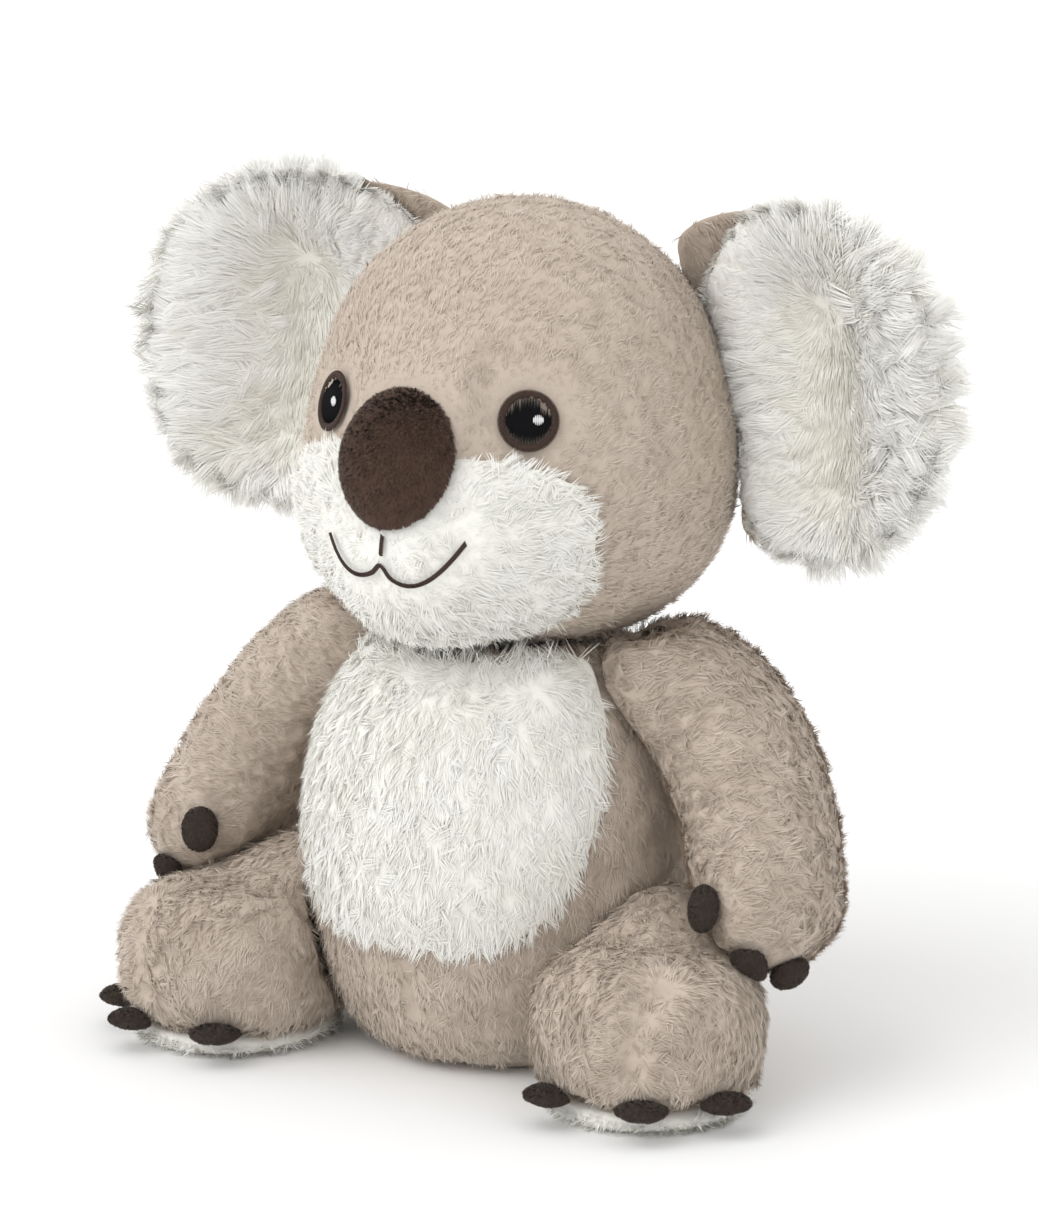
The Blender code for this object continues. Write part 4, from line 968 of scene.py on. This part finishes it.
def add_ear_front(side, sign):
    """An ear's front: long white locks that meet in a valley, with painted light on the locks and
    painted shade in the valley.
    """
    node = "ear_front_" + side
    front = skin_of(node)
    low, high = corners_of(node)
    centre = (low + high) / 2.0
    half_width = (high[0] - low[0]) / 2.0
    half_height = (high[2] - low[2]) / 2.0
    lean = sign * half_width * EAR_VALLEY_LEAN
    top = centre + np.array([-lean, 0.0, half_height * EAR_VALLEY_TOP])
    bottom = centre + np.array([lean, 0.0, -half_height * EAR_VALLEY_BOTTOM])
    valley = np.array([top, bottom]) * FROM_FRONT

    def gaps_of(points):
        _, gaps = nearest_on(valley, points * FROM_FRONT)
        return gaps

    def comb(roots, normals):
        spots, gaps = nearest_on(valley, roots * FROM_FRONT)
        away = smoothstep(gaps, 0.0, EAR_VALLEY_TURN)[:, None]
        return unit(roots * FROM_FRONT - spots) * away - UP * (EAR_DROOP + 1.0 - away)

    def shorter(roots):
        away = roots - centre
        angles = np.degrees(np.arctan2(away[:, 2], sign * away[:, 0])) % 360.0
        trim = sum(bell(angles - angle, EAR_TRIM_SPREAD) for angle in EAR_TRIMS)
        trim *= smoothstep(np.linalg.norm(away, axis=1), *EAR_TRIM_BETWEEN) * EAR_TRIM_SHARE
        longer = (1.0 - EAR_VALLEY_LENGTH) * smoothstep(gaps_of(roots), *EAR_LONGER_BETWEEN)
        return (EAR_VALLEY_LENGTH + longer) * np.clip(1.0 - trim, EAR_TRIM_LEAST, 1.0)

    # Locks lean to the tip colour, painted light against their own shadow, and toward the darker
    # colour near the valley, painted shade in the hollow
    def painted_light_and_shade(roots):
        return EAR_PAINTED_LIGHT - EAR_VALLEY_PAINTED_SHADE * bell(gaps_of(roots), EAR_VALLEY_PAINTED_SHADE_REACH)

    gaps = gaps_of(front.points)
    roll = EAR_ROLL * bell(gaps - EAR_ROLL_PLACE, EAR_ROLL_WIDTH)
    dip = EAR_DIP * bell(gaps, EAR_DIP_WIDTH)
    shaped = front.moved((roll - dip) * smoothstep(front.normals @ FORWARD, *EAR_FACING))
    _, ways = front.centres()
    shown = shaped.kept(unit(ways) @ FORWARD > EAR_EDGE)
    pile = blades(shown, EAR_PILE, comb, shorten=shorter, painted_light_and_shade=painted_light_and_shade)
    add_plush(
        node + "_plush", node, "ear_" + side, ear_white, shaped, pile,
        base=EAR_SKIN_PAINTED_SHADE,
    )


def add_ear_back(side, sign):
    """An ear's taupe back, combed outward and down."""
    node = "ear_back_" + side
    skin = skin_of(node)
    covered = clear_of(["ear_front_" + side], EAR_CLEARANCE)
    nap = toward(np.array(EAR_BACK_NAP) * (sign, 1.0, 1.0))
    pile = blades(skin, EAR_BACK_PILE, nap, covered)
    add_plush(
        node + "_plush", node, "ear_" + side, taupe, skin, pile
    )


def add_ears():
    """Both ears, each with a front and a back."""
    for side, sign in SIDES.items():
        add_ear_front(side, sign)
        add_ear_back(side, sign)


def add_torso():
    """The torso's cover, with a seam down its front and pile that turns up at the neck."""
    skin = outer_skin("torso_cover")
    low, _ = corners_of("belly_panel")
    _, neck = corners_of("torso_cover")
    seam = on_skin(skin, [low[2] * share * UP + SEAM_AHEAD * FORWARD for share in SEAM_SHARES])
    skin = lumpy(grooved(skin, [seam], **SEAM_GROOVE), LUMP_SEEDS["torso"])
    down = parted(toward(-UP), [seam], SEAM_PARTING)
    covered = clear_of(["belly_panel"], PANEL_CLEARANCE)
    shorter = shorter_along(seam, **SEAM_TRIM)

    def neck_share(roots):
        return smoothstep(roots[:, 2], neck[2] - NECK_REACH, neck[2] - NECK_REACH / 3.0)

    def keep(roots, normals):
        return covered(roots, normals) & (roots[:, 2] > TORSO_PILE_ABOVE)

    def risen(roots, normals):
        share = neck_share(roots)[:, None]
        outward = UP + NECK_OUTWARD * unit(roots * (1.0, 1.0, 0.0))
        return down(roots, normals) * (1.0 - share) + outward * share

    def lengths(roots):
        return shorter(roots) * (1.0 + NECK_LENGTH * neck_share(roots))

    pile = blades(skin, TORSO_PILE, risen, keep, lengths)
    add_plush("torso_plush", "torso_cover", "torso", taupe, skin, pile)


def add_belly():
    """The white shield, whose pile wanders aside and turns up under the chin."""
    skin = skin_of("belly_panel")
    _, high = corners_of("belly_panel")

    def comb(roots, normals):
        wander = ripple(roots, BELLY_WANDER["size"], BELLY_WANDER["seed"])
        levels = roots[:, 2] + BELLY_WANDER["height"] * wander
        climb = BELLY_TURN * smoothstep(levels, high[2] - BELLY_RISE_REACH, high[2])[:, None] - 1.0
        aside = np.cross(normals, UP) * np.sign(ripple(roots, **BELLY_ASIDE))[:, None]
        return UP * climb + aside * np.clip(1.0 - np.abs(climb), 0.0, 1.0)

    def longer(roots):
        share = smoothstep(roots[:, 2], high[2] - BELLY_RISE_REACH / 2.0, high[2])
        return 1.0 + BELLY_RISE_LENGTH * share

    shown = facing_out(skin, TORSO, PANEL_FACING)
    pile = blades(shown, WHITE_PILE, comb, shorten=longer)
    add_plush("belly_plush", "belly_panel", "torso", white, skin, pile)


def add_arm(side, claws):
    """An arm's cover, combed from the shoulder to the paw."""
    arm = "arm_cover_" + side
    skin = lumpy(outer_skin(arm), LUMP_SEEDS["arm"])
    shoulder = np.array(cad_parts[arm].location)
    to_paw = toward(middle_of("hand_claw_middle_" + side) - shoulder)
    covered = clear_of(claws, CLAW_CLEARANCE)
    pile = blades(skin, LIMB_PILE, to_paw, covered, shorter_near(claws, **CLAW_TRIM))
    add_plush("arm_plush_" + side, arm, "arm_" + side, taupe, skin, pile)


def add_leg(side, sign, toes):
    """A leg's cover, with a dart over the foot."""
    leg = "leg_cover_" + side
    skin = outer_skin(leg)
    foot = middle_of("sole_" + side)
    dart = []
    for azimuth, level in DART:
        turn = math.radians(azimuth)
        way = np.array([sign * math.sin(turn), -math.cos(turn), 0.0])
        dart.append(foot + way * DART_REACH + level * UP)
    dart = on_skin(skin, dart)
    skin = lumpy(grooved(skin, [dart], **DART_GROOVE), LUMP_SEEDS["leg"])
    shorter = shorter_along(dart, **DART_TRIM, also=shorter_near(toes, **CLAW_TRIM))
    covered = clear_of([*toes, "sole_" + side], CLAW_CLEARANCE)
    nap = parted(toward(np.array(LEG_NAP) * (sign, 1.0, 1.0)), [dart], DART_PARTING)
    pile = blades(skin, LIMB_PILE, nap, covered, shorter)
    add_plush("leg_plush_" + side, leg, "leg_" + side, taupe, skin, pile)


def add_sole(side):
    """A white sole, whose pile grows only round its edge."""
    sole = "sole_" + side
    skin = skin_of(sole, SOLE_LEVELS)

    def edge(roots, normals):
        return (roots[:, 2] > SOLE_PILE_ABOVE) & (normals[:, 2] < SOLE_FACING)

    pile = blades(skin, SOLE_PILE, away_from(middle_of(sole)), edge)
    add_plush("sole_plush_" + side, sole, "leg_" + side, white, skin, pile)


def add_claws(claws, body):
    """Felt claws on a paw or a foot."""
    for claw in claws:
        skin = skin_of(claw)
        pile = blades(skin, FELT_PILE, toward(-UP))
        name = claw.replace("claw", "claw_felt")
        add_plush(name, claw, body, felt, skin, pile)


def add_limbs():
    """Both arms and both legs, with their soles and claws."""
    for side, sign in SIDES.items():
        claws = [f"hand_claw_{place}_{side}" for place in CLAW_PLACES]
        toes = [f"toe_claw_{place}_{side}" for place in CLAW_PLACES]
        add_arm(side, claws)
        add_leg(side, sign, toes)
        add_sole(side)
        add_claws(claws, "arm_" + side)
        add_claws(toes, "leg_" + side)


def add_insides():
    """Finishes for the pieces inside, which no view shows."""
    for node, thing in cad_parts.items():
        if "filling" in node or node == "pellet_pouch":
            thing.data.materials.clear()
            thing.data.materials.append(filling)


def aimed(azimuth, elevation):
    """The way toward a place, as an azimuth from the front and an elevation."""
    turn = math.radians(azimuth)
    rise = math.radians(elevation)
    flat = math.cos(rise)
    return Vector((math.sin(turn) * flat, -math.cos(turn) * flat, math.sin(rise)))


def add_floor():
    """A plain pale floor."""
    bpy.ops.mesh.primitive_plane_add(size=FLOOR_SIZE)
    floor = bpy.context.object
    floor.name = "floor"
    paint, _, shader = new_material("floor_paint", roughness=1.0, specular=0.0)
    shader.inputs["Base Color"].default_value = (*FLOOR_COLOUR, 1.0)
    floor.data.materials.append(paint)


def add_light():
    """Soft light from all round, white behind the koala, and a soft sun."""
    world = bpy.data.worlds.new("studio")
    bpy.context.scene.world = world
    world.use_nodes = True
    tree = world.node_tree
    back = tree.nodes["Background"]
    path = tree.nodes.new("ShaderNodeLightPath")
    seen = tree.nodes.new("ShaderNodeMath")
    seen.operation = "MAXIMUM"
    tree.links.new(path.outputs["Is Camera Ray"], seen.inputs[0])
    tree.links.new(path.outputs["Is Glossy Ray"], seen.inputs[1])
    level = tree.nodes.new("ShaderNodeMapRange")
    level.inputs["To Min"].default_value = WORLD_LIGHT
    level.inputs["To Max"].default_value = 1.0
    tree.links.new(seen.outputs[0], level.inputs["Value"])
    tree.links.new(level.outputs["Result"], back.inputs["Strength"])
    back.inputs["Color"].default_value = (1.0, 1.0, 1.0, 1.0)

    sun = bpy.data.lights.new("soft_sun", "SUN")
    sun.energy = SUN_LIGHT
    sun.angle = math.radians(SUN_SOFTNESS)
    lamp = bpy.data.objects.new("soft_sun", sun)
    bpy.context.scene.collection.objects.link(lamp)
    lamp.rotation_euler = aimed(SUN_AZIMUTH, SUN_ELEVATION).to_track_quat("Z", "Y").to_euler()


def add_camera():
    """The camera, where the photograph was taken."""
    way = aimed(CAMERA_AZIMUTH, CAMERA_ELEVATION)
    view = bpy.data.cameras.new("camera")
    view.sensor_fit = "VERTICAL"
    view.sensor_height = SENSOR_HEIGHT
    view.lens = SENSOR_HEIGHT * CAMERA_DISTANCE / (METRES_PER_PIXEL * IMAGE_SIZE[1])
    camera = bpy.data.objects.new("camera", view)
    bpy.context.scene.collection.objects.link(camera)
    camera.location = Vector(CAMERA_AIM) + way * CAMERA_DISTANCE
    camera.rotation_euler = way.to_track_quat("Z", "Y").to_euler()
    bpy.context.scene.camera = camera
    bpy.context.scene.view_settings.view_transform = "Standard"


add_floor()
add_light()
add_camera()
add_head()
add_muzzle()
add_nose()
add_eyes()
add_mouth()
add_ears()
add_torso()
add_belly()
add_limbs()
add_insides()
